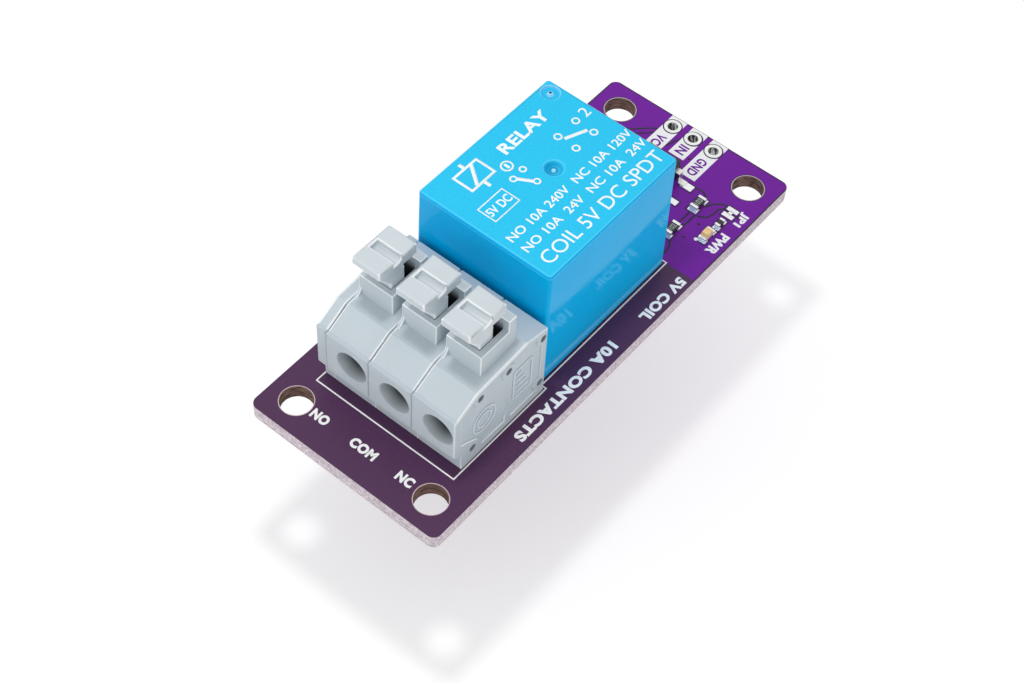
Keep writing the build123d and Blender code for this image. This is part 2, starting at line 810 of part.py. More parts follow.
for pole, start in enumerate(pole_starts, 1):
    bar_right_x = start + pole_pitch - side_wall - bar_gap
    with BuildPart() as current_bar:
        with BuildSketch(side_plane(bar_right_x - bar_width)):
            with BuildLine():
                FilletPolyline(
                    (bar_front_y, bar_inner_top),
                    (bar_inner_y, bar_inner_top),
                    (bar_inner_y, bar_foot_top),
                    (block_front_y + foot_front, bar_foot_top),
                    radius=bar_bend_radius,
                )
                offset(amount=bar_thickness, side=Side.LEFT)
            make_face()
        extrude(amount=bar_width)
        with BuildSketch(Plane.XY.offset(-pin_tail)):
            with Locations(*[(start + wire_x, y) for y in solder_pin_ys]):
                Rectangle(solder_pin_width, solder_pin_depth)
        extrude(amount=pin_tail + pocket_floor)
    current_bar.part.label = f"current_bar_{pole}"
    export_step(current_bar.part, f"parts/current_bar_{pole}.step")

# Clamp springs: a bent leaf on the bar's foot whose long leg presses up against the bar
spring_front_y = pocket_front_y + clamp_bend_gap
spring_floor_z = bar_foot_top + clamp_thickness
spring_tip_y = bar_inner_y - clamp_tip_inset
spring_tip_z = bar_inner_top - clamp_thickness - contact_air

for pole, start in enumerate(pole_starts, 1):
    spring_right_x = start + pole_pitch - side_wall - bar_gap
    with BuildPart() as clamp_spring:
        with BuildSketch(side_plane(spring_right_x - clamp_width)):
            with BuildLine():
                FilletPolyline(
                    (bar_inner_y - bar_bend_radius, spring_floor_z),
                    (spring_front_y + clamp_thickness, spring_floor_z),
                    (spring_front_y + clamp_thickness, spring_floor_z + clamp_bend_height),
                    (spring_tip_y, spring_tip_z),
                    radius=clamp_bend_radius,
                )
                offset(amount=clamp_thickness, side=Side.LEFT)
            make_face()
        extrude(amount=clamp_width)
    clamp_spring.part.label = f"clamp_spring_{pole}"
    export_step(clamp_spring.part, f"parts/clamp_spring_{pole}.step")

# Solder joints under the board, one round each pin
coil_joints = [(x, y, coil_pin_size, coil_pin_size) for x, y in coil_pin_spots]
throw_joints = [(x, y, contact_thickness, contact_pin_width) for x, y in throw_pin_spots]
relay_joints = coil_joints + throw_joints + [(relay_x, common_pin_y, common_pin_width, common_thickness)]
terminal_joints = [(x, y, solder_pin_width, solder_pin_depth) for x, y in terminal_pin_spots]

for name, joints in (("relay_solder_joints", relay_joints), ("terminal_solder_joints", terminal_joints)):
    with BuildPart() as solder:
        for x, y, pin_width, pin_depth in joints:
            with BuildSketch(level(x, y, -solder_height)):
                RegularPolygon(solder_radius, solder_sides)
            extrude(amount=solder_height)
        chamfer(solder.faces().filter_by_position(Axis.Z, -solder_height, -solder_height).edges(),
                length=solder_height - solder_rim, length2=solder_slope)
        for x, y, pin_width, pin_depth in joints:
            with BuildSketch(level(x, y, -solder_height)):
                Rectangle(pin_width, pin_depth)
            extrude(amount=solder_height, mode=Mode.SUBTRACT)
    solder.part.label = name
    export_step(solder.part, f"parts/{name}.step")

# Chip parts stand on a thin film of solder


def chip_center(spot):
    """Centre of a chip part from its X and its distance from the header's edge."""
    return spot[0], board_length / 2 - spot[1]


# Chip resistors: a ceramic body with a thin metal cap wrapped round each end
chip_z = board_top + solder_film
chip_size = (resistor_length, resistor_width, resistor_height, resistor_cap)
small_chip_size = (lamp_resistor_length, lamp_resistor_width, lamp_resistor_height, lamp_resistor_cap)
for name, spot, size in (
    ("input_resistor", input_resistor_spot, chip_size),
    ("pulldown_resistor", pulldown_resistor_spot, chip_size),
    ("lamp_resistor", lamp_resistor_spot, small_chip_size),
):
    length, width, height, cap = size
    x, y = chip_center(spot)
    with BuildPart() as chip_body:
        with BuildSketch(level(x, y, chip_z + end_wrap)):
            Rectangle(width, length)
        extrude(amount=height)
    chip_body.part.label = f"{name}_body"
    export_step(chip_body.part, f"parts/{name}_body.step")

    cap_y = (length + 2 * end_wrap - cap) / 2
    with BuildPart() as chip_caps:
        with BuildSketch(level(x, y, chip_z)):
            with Locations((0, cap_y), (0, -cap_y)):
                Rectangle(width + 2 * end_wrap, cap)
        extrude(amount=height + 2 * end_wrap)
        with BuildSketch(level(x, y, chip_z + end_wrap)):
            Rectangle(width, length)
        extrude(amount=height, mode=Mode.SUBTRACT)
    chip_caps.part.label = f"{name}_caps"
    export_step(chip_caps.part, f"parts/{name}_caps.step")

# Indicator light: a small carrier with a lens on top and a metal cap at each end
lamp_x, lamp_y = chip_center(lamp_spot)
lamp_base_z = chip_z + end_wrap
with BuildPart() as lamp_base:
    with BuildSketch(level(lamp_x, lamp_y, lamp_base_z)):
        Rectangle(lamp_width, lamp_length)
    extrude(amount=lamp_base_height)
lamp_base.part.label = "indicator_base"
export_step(lamp_base.part, "parts/indicator_base.step")

lamp_cap_y = (lamp_length + 2 * end_wrap - lamp_cap) / 2
with BuildPart() as lamp_caps:
    with BuildSketch(level(lamp_x, lamp_y, chip_z)):
        with Locations((0, lamp_cap_y), (0, -lamp_cap_y)):
            Rectangle(lamp_width + 2 * end_wrap, lamp_cap)
    extrude(amount=lamp_base_height + 2 * end_wrap)
    with BuildSketch(level(lamp_x, lamp_y, lamp_base_z)):
        Rectangle(lamp_width, lamp_length)
    extrude(amount=lamp_base_height, mode=Mode.SUBTRACT)
lamp_caps.part.label = "indicator_caps"
export_step(lamp_caps.part, "parts/indicator_caps.step")

lens_length = lamp_length + 2 * (end_wrap - lamp_cap - lens_gap)
with BuildPart() as lamp_lens:
    with BuildSketch(level(lamp_x, lamp_y, lamp_base_z + lamp_base_height)):
        Rectangle(lamp_width, lens_length)
    extrude(amount=lens_height, taper=lens_draft)
lamp_lens.part.label = "indicator_lens"
export_step(lamp_lens.part, "parts/indicator_lens.step")


def gull_lead(x, outward, body_length, span, height):
    """Outline in X and Z of one lead from a moulded body down to the board."""
    inner = x + outward * body_length / 2
    outer = x + outward * span / 2
    knee = inner + (outer - inner) * lead_knee_share
    return [
        (inner, height),
        (inner, height + lead_thickness),
        (knee + outward * lead_thickness, height + lead_thickness),
        (knee + outward * lead_thickness, chip_z + lead_thickness),
        (outer, chip_z + lead_thickness),
        (outer, chip_z),
        (knee, chip_z),
        (knee, height),
    ]


# Flyback diode: a moulded body along X with a lead at each end
diode_x, diode_y = chip_center(diode_spot)
package_z = chip_z + package_lift
with BuildPart() as diode:
    with BuildSketch(level(diode_x, diode_y, package_z)):
        Rectangle(diode_length, diode_width)
    extrude(amount=diode_height, taper=package_taper)
diode.part.label = "diode_body"
export_step(diode.part, "parts/diode_body.step")

diode_waist = diode_length - 2 * diode_lead_rise * tan(radians(package_taper))
with BuildPart() as diode_leads:
    for outward in (-1, 1):
        with BuildSketch(Plane(origin=(0, diode_y, 0), x_dir=(1, 0, 0), z_dir=(0, -1, 0))):
            outline = gull_lead(diode_x, outward, diode_waist, diode_span, package_z + diode_lead_rise)
            Polygon(*outline, align=None)
        extrude(amount=diode_lead_width / 2, both=True)
diode_leads.part.label = "diode_leads"
export_step(diode_leads.part, "parts/diode_leads.step")

# Switching transistor: a moulded body with one lead on one side and two on the other
transistor_x, transistor_y = chip_center(transistor_spot)
with BuildPart() as transistor:
    with BuildSketch(level(transistor_x, transistor_y, package_z)):
        Rectangle(transistor_width, transistor_length)
    extrude(amount=transistor_height, taper=package_taper)
transistor.part.label = "transistor_body"
export_step(transistor.part, "parts/transistor_body.step")

lead_height = package_z + package_lift
with BuildPart() as transistor_leads:
    for outward, shift in ((1, 0), (-1, transistor_lead_pitch / 2), (-1, -transistor_lead_pitch / 2)):
        lead_y = transistor_y + shift
        with BuildSketch(Plane(origin=(0, lead_y, 0), x_dir=(1, 0, 0), z_dir=(0, -1, 0))):
            outline = gull_lead(transistor_x, outward, transistor_width, transistor_span, lead_height)
            Polygon(*outline, align=None)
        extrude(amount=transistor_lead_width / 2, both=True)
transistor_leads.part.label = "transistor_leads"
export_step(transistor_leads.part, "parts/transistor_leads.step")
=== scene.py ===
"""Looks of the relay module board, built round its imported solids.

Lengths in the classes are millimetres in the board's own frame: the origin is the centre of the
fixing holes on the underside, X runs across the board, +Y towards the header holes and +Z up.
"""

from __future__ import annotations

import json
import logging
import math
from collections.abc import Sequence
from dataclasses import dataclass
from enum import Enum

import bmesh
import bpy
from mathutils import Matrix, Vector

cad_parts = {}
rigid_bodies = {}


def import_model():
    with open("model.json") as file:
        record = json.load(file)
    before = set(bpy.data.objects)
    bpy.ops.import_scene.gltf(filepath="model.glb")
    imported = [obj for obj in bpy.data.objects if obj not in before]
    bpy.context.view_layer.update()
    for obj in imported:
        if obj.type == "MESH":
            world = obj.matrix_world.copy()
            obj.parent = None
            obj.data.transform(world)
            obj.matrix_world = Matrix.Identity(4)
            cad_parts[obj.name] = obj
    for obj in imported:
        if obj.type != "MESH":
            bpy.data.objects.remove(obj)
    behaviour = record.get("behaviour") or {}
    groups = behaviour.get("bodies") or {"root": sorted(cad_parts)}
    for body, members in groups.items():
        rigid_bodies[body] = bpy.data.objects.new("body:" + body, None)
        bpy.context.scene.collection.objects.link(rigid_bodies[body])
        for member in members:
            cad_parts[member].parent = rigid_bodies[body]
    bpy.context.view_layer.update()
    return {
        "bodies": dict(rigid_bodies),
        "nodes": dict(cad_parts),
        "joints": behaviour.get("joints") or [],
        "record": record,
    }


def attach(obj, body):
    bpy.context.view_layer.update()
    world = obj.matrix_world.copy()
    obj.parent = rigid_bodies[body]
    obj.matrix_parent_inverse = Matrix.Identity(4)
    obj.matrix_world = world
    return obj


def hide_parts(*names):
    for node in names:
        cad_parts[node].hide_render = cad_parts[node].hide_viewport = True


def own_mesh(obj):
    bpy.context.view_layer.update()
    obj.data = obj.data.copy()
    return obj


LOG = logging.getLogger("relay_board")
Color = tuple[float, float, float]
Point = tuple[float, float]
Place = tuple[float, float, float]
Area = tuple[float, float, float, float]

MM = 0.001
BOARD_TOP = 1.6
BOARD_HALF_WIDTH = 11.0
BOARD_HALF_LENGTH = 27.0
FIXING_HOLE = (8.0, 24.0)
HEADER_Y = 25.65
HEADER_PITCH = 2.54
RELAY_TOP = 16.54
FIRST_POLE = -7.0
POLE_PITCH = 5.0

# Shares of a noise between which nearly all of a surface lies
MOST: Point = (0.25, 0.75)
MIDDLE: Point = (0.3, 0.7)


class Way(Enum):
    """Direction in which lettering reads, with the way its tops point."""

    ACROSS = ((1, 0, 0), (0, 1, 0))
    DOWN_RIGHT_EDGE = ((0, -1, 0), (1, 0, 0))
    UP_BOARD = ((0, 1, 0), (-1, 0, 0))


def metres(*values: float) -> Vector:
    """Vector in metres from millimetres."""
    return Vector([value * MM for value in values])


def shaded(color: Color, change: float) -> Color:
    """Colour made darker or lighter by a share."""
    return tuple(min(1.0, max(0.0, value * (1.0 + change))) for value in color)


def even(value: float) -> Color:
    """Grey, or one number for a colour socket."""
    return (value, value, value)


# Node trees for materials


def sight(tree: bpy.types.NodeTree) -> bpy.types.NodeSocket:
    """1 for rays that see a backdrop straight, in a mirror or through glass.

    Args:
        tree: node tree of the floor's material or of the world.

    Returns:
        The socket with the result.
    """
    path = tree.nodes.new("ShaderNodeLightPath")
    result = path.outputs["Is Camera Ray"]
    for name in ("Is Glossy Ray", "Is Transmission Ray"):
        either = tree.nodes.new("ShaderNodeMath")
        either.operation = "MAXIMUM"
        tree.links.new(result, either.inputs[0])
        tree.links.new(path.outputs[name], either.inputs[1])
        result = either.outputs[0]
    return result


class Shading:
    """Writer for one material's node tree."""

    def __init__(self, name: str) -> None:
        """Starts an empty material.

        Args:
            name: name of the material.
        """
        self.material = bpy.data.materials.new(name)
        self.material.use_nodes = True
        self.tree = self.material.node_tree
        self.tree.nodes.clear()
        self.place = self.add("ShaderNodeTexCoord").outputs["Object"]

    def add(self, kind: str, **settings: object) -> bpy.types.Node:
        """Adds a node.

        Args:
            kind: Blender's name of the node.
            settings: values of the node's own properties.

        Returns:
            The node.
        """
        node = self.tree.nodes.new(kind)
        for key, value in settings.items():
            setattr(node, key, value)
        return node

    def feed(self, socket: bpy.types.NodeSocket, value: object) -> None:
        """Links a socket to another, or writes a plain value on it.

        Args:
            socket: input that takes the value.
            value: output socket, number or colour.
        """
        if isinstance(value, bpy.types.NodeSocket):
            self.tree.links.new(value, socket)
        else:
            socket.default_value = value

    def feed_color(self, socket: bpy.types.NodeSocket, value: object) -> None:
        """Links a colour socket to another, or writes a plain colour on it."""
        self.feed(socket, value if isinstance(value, bpy.types.NodeSocket) else (*value, 1.0))

    def math(self, operation: str, first: object, second: object = 0.0) -> bpy.types.NodeSocket:
        """Result of a two-input sum on numbers.

        Args:
            operation: Blender's name of the operation.
            first: first socket or number.
            second: second socket or number.

        Returns:
            The socket with the result.
        """
        node = self.add("ShaderNodeMath", operation=operation)
        self.feed(node.inputs[0], first)
        self.feed(node.inputs[1], second)
        return node.outputs[0]

    def times(self, first: object, second: object) -> bpy.types.NodeSocket:
        """One number times another; for two masks, where both are 1."""
        return self.math("MULTIPLY", first, second)

    def other(self, mask: object) -> bpy.types.NodeSocket:
        """1 less a mask."""
        return self.math("SUBTRACT", 1.0, mask)

    def below(self, length: object, limit: float) -> bpy.types.NodeSocket:
        """1 where a length is under a limit, given in millimetres."""
        return self.math("LESS_THAN", length, limit * MM)

    def above(self, length: object, limit: float) -> bpy.types.NodeSocket:
        """1 where a length is over a limit, given in millimetres."""
        return self.math("GREATER_THAN", length, limit * MM)

    def between(self, length: object, low: float, high: float) -> bpy.types.NodeSocket:
        """1 where a length lies between two, given in millimetres."""
        return self.times(self.above(length, low), self.below(length, high))

    def reach(self, first: object, second: object, at: Point = (0.0, 0.0)) -> bpy.types.NodeSocket:
        """Distance of two coordinates from a point.

        Args:
            first: first coordinate.
            second: second coordinate.
            at: the point, in millimetres.

        Returns:
            The socket with the distance, in metres.
        """
        steps = (self.math("SUBTRACT", first, at[0] * MM), self.math("SUBTRACT", second, at[1] * MM))
        return self.math("SQRT", self.math("ADD", *[self.times(step, step) for step in steps]))

    def axes(self) -> tuple[bpy.types.NodeSocket, ...]:
        """X, Y and Z of the surface, in metres.

        Returns:
            The three sockets.
        """
        node = self.add("ShaderNodeSeparateXYZ")
        self.feed(node.inputs[0], self.place)
        return tuple(node.outputs)

    def stretched(self, scale: Place) -> bpy.types.NodeSocket:
        """Object coordinates with a scale of their own along each axis.

        Args:
            scale: scale along X, Y and Z.

        Returns:
            The socket with the coordinates.
        """
        node = self.add("ShaderNodeMapping")
        self.feed(node.inputs["Vector"], self.place)
        node.inputs["Scale"].default_value = scale
        return node.outputs[0]

    def noise(self, scale: float, detail: float = 2.0, place: object = None) -> bpy.types.NodeSocket:
        """Soft noise from 0 to 1.

        Args:
            scale: number of features in a metre.
            detail: octaves of finer noise.
            place: coordinates, or None for the plain ones.

        Returns:
            The socket with the noise.
        """
        node = self.add("ShaderNodeTexNoise")
        self.feed(node.inputs["Vector"], self.place if place is None else place)
        node.inputs["Scale"].default_value = scale
        node.inputs["Detail"].default_value = detail
        return node.outputs["Fac"]

    def span(self, value: object, low: float, high: float, start: float = 0.0,
             end: float = 1.0) -> bpy.types.NodeSocket:
        """Value between low and high moved to start and end, held at both.

        Args:
            value: socket with the value.
            low: where the result is start.
            high: where the result is end.
            start: first result.
            end: last result.

        Returns:
            The socket with the result.
        """
        node = self.add("ShaderNodeMapRange", clamp=True)
        self.feed(node.inputs["Value"], value)
        for name, number in (("From Min", low), ("From Max", high), ("To Min", start), ("To Max", end)):
            node.inputs[name].default_value = number
        return node.outputs["Result"]

    def slope(self, length: object, low: float, high: float, start: float = 0.0,
              end: float = 1.0) -> bpy.types.NodeSocket:
        """The same for a length, with low and high in millimetres."""
        return self.span(length, low * MM, high * MM, start, end)

    def blend(self, factor: object, first: object, second: object) -> bpy.types.NodeSocket:
        """Colour between two.

        Args:
            factor: share of the second colour, from 0 to 1.
            first: first socket or colour.
            second: second socket or colour.

        Returns:
            The socket with the colour.
        """
        node = self.add("ShaderNodeMix", data_type="RGBA")
        self.feed(node.inputs[0], factor)
        self.feed_color(node.inputs[6], first)
        self.feed_color(node.inputs[7], second)
        return node.outputs[2]

    def varied(self, factor: object, color: Color, darker: float, lighter: float) -> bpy.types.NodeSocket:
        """Colour that runs from a darker to a lighter shade of it by a factor from 0 to 1."""
        return self.blend(factor, shaded(color, -darker), shaded(color, lighter))

    def bump(self, height: object, depth_mm: float, base: object = None) -> bpy.types.NodeSocket:
        """Normal that follows a height.

        Args:
            height: socket with the height from 0 to 1.
            depth_mm: how deep the relief is.
            base: normal that it is laid over, or None.

        Returns:
            The socket with the normal.
        """
        node = self.add("ShaderNodeBump")
        node.inputs["Distance"].default_value = depth_mm * MM
        self.feed(node.inputs["Height"], height)
        if base is not None:
            self.feed(node.inputs["Normal"], base)
        return node.outputs["Normal"]

    def surface(self, color: object, roughness: object, normal: object, **extra: float) -> bpy.types.Material:
        """Ends the tree in a shader.

        Args:
            color: socket or colour.
            roughness: socket or number.
            normal: socket with the normal.
            extra: values written on the shader's other sockets, with _ for a space.

        Returns:
            The finished material.
        """
        shader = self.add("ShaderNodeBsdfPrincipled")
        self.feed_color(shader.inputs["Base Color"], color)
        self.feed(shader.inputs["Roughness"], roughness)
        self.feed(shader.inputs["Normal"], normal)
        for key, value in extra.items():
            shader.inputs[key.replace("_", " ")].default_value = value
        return self.ended(shader)

    def ended(self, shader: bpy.types.Node) -> bpy.types.Material:
        """Links the last shader to the material's output.

        Args:
            shader: node whose first output is the surface.

        Returns:
            The finished material.
        """
        output = self.add("ShaderNodeOutputMaterial")
        self.feed(output.inputs["Surface"], shader.outputs[0])
        return self.material


# Finishes


@dataclass(frozen=True)
class Moulding:
    """Moulded plastic with a soft mottle and a fine eroded grain."""

    name: str
    color: Color
    shade: float = 0.05
    roughness: float = 0.42
    spread: float = 0.06
    mottle: float = 260.0
    grain: float = 9000.0
    relief: float = 0.004
    gloss: float = 0.5

    def build(self) -> bpy.types.Material:
        """Makes the finish.

        Returns:
            Material of the moulding.
        """
        work = Shading(self.name)
        fine = work.noise(self.grain)
        color = work.varied(work.noise(self.mottle, 3.0), self.color, self.shade, self.shade)
        rough = work.span(fine, *MOST, self.roughness - self.spread, self.roughness + self.spread)
        return work.surface(color, rough, work.bump(fine, self.relief), Specular_IOR_Level=self.gloss)


@dataclass(frozen=True)
class RelayPlastic:
    """Blue moulding with polished sides and an eroded, satin top whose lighter blue is a painted sheen;
    painted highlight lines run along the round, and the vent and gate marks carry painted highlights and
    shade.
    """

    name: str = "relay_blue"
    color: Color = (0.001, 0.445, 0.86)
    # painted sheen: the top is a lighter blue, for the light falling on it
    top_sheen_color: Color = (0.03, 0.565, 0.89)
    # painted highlight colours of the round's lines, the vent's rim and the gate's pip, and the painted shade
    # of the vent's pit
    highlight_line_color: Color = (0.2, 0.75, 1.0)
    rim_highlight_color: Color = (0.6, 0.85, 1.0)
    pip_highlight_color: Color = (0.6, 0.88, 1.0)
    pit_shade_color: Color = (0.02, 0.08, 0.12)
    shade: float = 0.05
    top_shade: float = 0.07
    top_height: float = RELAY_TOP
    top_fade: Point = (0.06, 0.01)
    round_height: float = 0.3
    # painted highlight lines along the foot and the top of the round
    line: float = 0.07
    line_gap: float = 0.012
    lower_highlight: float = 0.55
    upper_highlight: float = 0.4
    mottle: float = 180.0
    top_grain: float = 5200.0
    speck: Point = (0.35, 0.7)
    polish_grain: float = 700.0
    polish: Point = (0.06, 0.12)
    satin: Point = (0.42, 0.52)
    wave: float = 320.0
    relief: float = 0.012
    gloss: float = 0.06
    hollow_rim: float = 0.02
    # the vent and the gate mark carry painted highlights and painted shade
    vent: Point = (-6.45, 9.32)
    vent_radius: float = 0.9
    vent_rim: Point = (0.06, 0.1)
    vent_rim_highlight_share: float = 0.3
    pit: float = 0.14
    pit_rim: float = 0.34
    pit_rim_highlight_share: float = 0.6
    gate: Point = (-0.425, 2.32)
    gate_radius: float = 1.0
    gate_slope: float = 0.3
    gate_turn: float = 0.8
    gate_far_side: float = 0.35
    gate_shade: float = 0.3
    pip: float = 0.22
    pip_highlight_share: float = 0.6

    def build(self) -> bpy.types.Material:
        """Makes the finish.

        Returns:
            Material of the cover.
        """
        work = Shading(self.name)
        x, y, height = work.axes()
        vent, gate = work.reach(x, y, self.vent), work.reach(x, y, self.gate)
        hollow = work.math("MAXIMUM", work.below(vent, self.vent_radius + self.hollow_rim),
                           work.below(gate, self.gate_radius + self.hollow_rim))
        flat = work.slope(height, *[self.top_height - depth for depth in self.top_fade])
        on_top = work.math("MAXIMUM", hollow, flat)
        grain = work.noise(self.top_grain, 3.0)
        sides = work.varied(work.noise(self.mottle, 3.0), self.color, self.shade, self.shade)
        # painted sheen: the top takes a lighter blue than the sides
        top = work.varied(work.span(grain, *self.speck), self.top_sheen_color, self.shade, self.top_shade)
        color = self._lines(work, height, work.blend(on_top, sides, top))
        color = self._marks(work, x, vent, gate, color)
        polish = work.span(work.noise(self.polish_grain), *MIDDLE, *self.polish)
        satin = work.span(grain, *MIDDLE, *self.satin)
        rough = work.math("ADD", work.times(polish, work.other(on_top)), work.times(satin, on_top))
        wave = work.bump(work.noise(self.wave, 1.0), self.relief)
        normal = work.bump(work.times(grain, on_top), self.relief, wave)
        return work.surface(color, rough, normal, Specular_IOR_Level=self.gloss)

    def _lines(self, work: Shading, height: object, color: object) -> bpy.types.NodeSocket:
        """Painted highlights: light lines where the round meets the top and the sides.

        Args:
            work: the material's tree.
            height: coordinate up from the board.
            color: colour that they are laid over.

        Returns:
            The socket with the colour.
        """
        # painted highlights along the round
        foot = self.top_height - self.round_height
        low = work.between(height, foot - self.line, foot)
        high = work.between(height, self.top_height - self.line, self.top_height - self.line_gap)
        shine = work.math("ADD", work.times(low, self.lower_highlight), work.times(high, self.upper_highlight))
        return work.blend(shine, color, self.highlight_line_color)

    def _marks(self, work: Shading, x: object, vent: object, gate: object,
               color: object) -> bpy.types.NodeSocket:
        """Painted highlights and painted shade of the sealed vent and of the gate mark.

        Args:
            work: the material's tree.
            x: coordinate across the board.
            vent: distance from the vent's axis.
            gate: distance from the gate mark's axis.
            color: colour that they are laid over.

        Returns:
            The socket with the colour.
        """
        # painted highlights on the vent's rim and round its pit, and painted shade in the pit
        rim = work.between(vent, self.vent_radius - self.vent_rim[0], self.vent_radius + self.vent_rim[1])
        pit_rim = work.between(vent, self.pit, self.pit_rim)
        edges = work.times(rim, self.vent_rim_highlight_share), work.times(pit_rim, self.pit_rim_highlight_share)
        light = work.math("ADD", *edges)
        color = work.blend(light, color, self.rim_highlight_color)
        color = work.blend(work.below(vent, self.pit), color, self.pit_shade_color)
        # painted shadow in the gate's hollow, heavier on its low-X side, and a painted highlight on its pip
        shade = work.slope(gate, self.gate_radius - self.gate_slope, self.gate_radius, 1.0, 0.0)
        sides = (self.gate[0] - self.gate_turn, self.gate[0] + self.gate_turn)
        far_side = work.slope(x, *sides, 1.0, self.gate_far_side)
        off_pip = work.above(gate, self.pip)
        shade = work.times(work.times(shade, far_side), off_pip)
        color = work.blend(shade, color, shaded(self.color, -self.gate_shade))
        return work.blend(work.times(work.other(off_pip), self.pip_highlight_share), color, self.pip_highlight_color)


@dataclass(frozen=True)
class BlockPlastic:
    """Grey moulding with painted shade inside the button pockets, the wire holes and the peg holes, and a
    painted highlight on the walls of the side's recess.
    """

    name: str
    color: Color
    shade: float = 0.05
    mottle: float = 260.0
    grain: float = 9000.0
    roughness: Point = (0.36, 0.48)
    relief: float = 0.004
    gloss: float = 0.3
    # painted shade inside the button pockets: where it lies and how dark it gets
    pocket_run: Point = (1.02, 3.28)
    pocket_y: Point = (-15.88, -12.74)
    pocket_rim: float = 14.6
    pocket_fade: float = 1.3
    pocket_depth: float = 0.94
    pocket_shade_color: Color = (0.012, 0.01, 0.01)
    # painted shade along the wire holes
    wire_hole: Point = (3.05, 7.07)
    wire_radius: float = 1.7
    wire_mouth: float = -20.9
    wire_fade: float = 1.2
    wire_depth: Point = (0.25, 0.97)
    wire_shade: float = 0.78
    back_wall: float = -9.0
    # painted highlight on the walls of the side's recess
    recess_wall: Point = (7.83, 7.97)
    wall_highlight_share: float = 0.6
    wall_highlight_lift: float = 0.45
    # painted shade in the peg holes of the side
    pegs: tuple[Point, ...] = ((-18.4, 3.35), (-17.55, 9.9), (-13.75, 9.9), (-9.0, 9.9), (-9.0, 3.35))
    peg_radius: float = 0.47
    peg_fade: float = 0.12
    peg_depth: float = 0.6
    peg_dark: float = 0.75
    peg_shade: float = 0.8

    def build(self) -> bpy.types.Material:
        """Makes the finish.

        Returns:
            Material of the housings.
        """
        work = Shading(self.name)
        x, y, z = work.axes()
        fine = work.noise(self.grain)
        color = work.varied(work.noise(self.mottle, 3.0), self.color, self.shade, self.shade)
        run = work.math("MODULO", work.math("SUBTRACT", x, FIRST_POLE * MM), POLE_PITCH * MM)
        # painted shade inside the button pockets
        color = self._shade_pockets(work, (run, y, z), color)
        # painted shade along the wire holes
        color = self._shade_wire_holes(work, (run, y, z), color)
        # painted highlight on the walls of the side's recess
        wall = work.times(work.between(x, *self.recess_wall), self.wall_highlight_share)
        color = work.blend(wall, color, shaded(self.color, self.wall_highlight_lift))
        # painted shade in the peg holes
        color = self._shade_peg_holes(work, (x, y, z), color)
        rough = work.span(fine, *MOST, *self.roughness)
        return work.surface(color, rough, work.bump(fine, self.relief), Specular_IOR_Level=self.gloss)

    def _shade_pockets(self, work: Shading, spot: tuple, color: object) -> bpy.types.NodeSocket:
        """Painted shade: dark inside of the button pockets.

        Args:
            work: the material's tree.
            spot: distance across the pole, Y and Z.
            color: colour that it is laid over.

        Returns:
            The socket with the colour.
        """
        run, y, z = spot
        inside = work.times(work.between(run, *self.pocket_run), work.between(y, *self.pocket_y))
        depth = work.slope(z, self.pocket_rim - self.pocket_fade, self.pocket_rim, self.pocket_depth, 0.0)
        return work.blend(work.times(inside, depth), color, self.pocket_shade_color)

    def _shade_wire_holes(self, work: Shading, spot: tuple, color: object) -> bpy.types.NodeSocket:
        """Painted shade that deepens along the wire holes.

        Args:
            work: the material's tree.
            spot: distance across the pole, Y and Z.
            color: colour that it is laid over.

        Returns:
            The socket with the colour.
        """
        run, y, z = spot
        in_hole = work.below(work.reach(run, z, self.wire_hole), self.wire_radius)
        in_hole = work.times(in_hole, work.below(y, self.back_wall))
        depth = work.slope(y, self.wire_mouth, self.wire_mouth + self.wire_fade, *self.wire_depth)
        return work.blend(work.times(in_hole, depth), color, shaded(self.color, -self.wire_shade))

    def _shade_peg_holes(self, work: Shading, spot: tuple, color: object) -> bpy.types.NodeSocket:
        """Painted shade: dark holes of the pegs in the side.

        Args:
            work: the material's tree.
            spot: X, Y and Z.
            color: colour that they are laid over.

        Returns:
            The socket with the colour.
        """
        x, y, z = spot
        near = work.reach(y, z, self.pegs[0])
        for peg in self.pegs[1:]:
            near = work.math("MINIMUM", near, work.reach(y, z, peg))
        dark = work.slope(near, self.peg_radius - self.peg_fade, self.peg_radius, self.peg_dark, 0.0)
        in_peg = work.times(dark, work.above(x, self.recess_wall[0] - self.peg_depth))
        return work.blend(in_peg, color, shaded(self.color, -self.peg_shade))


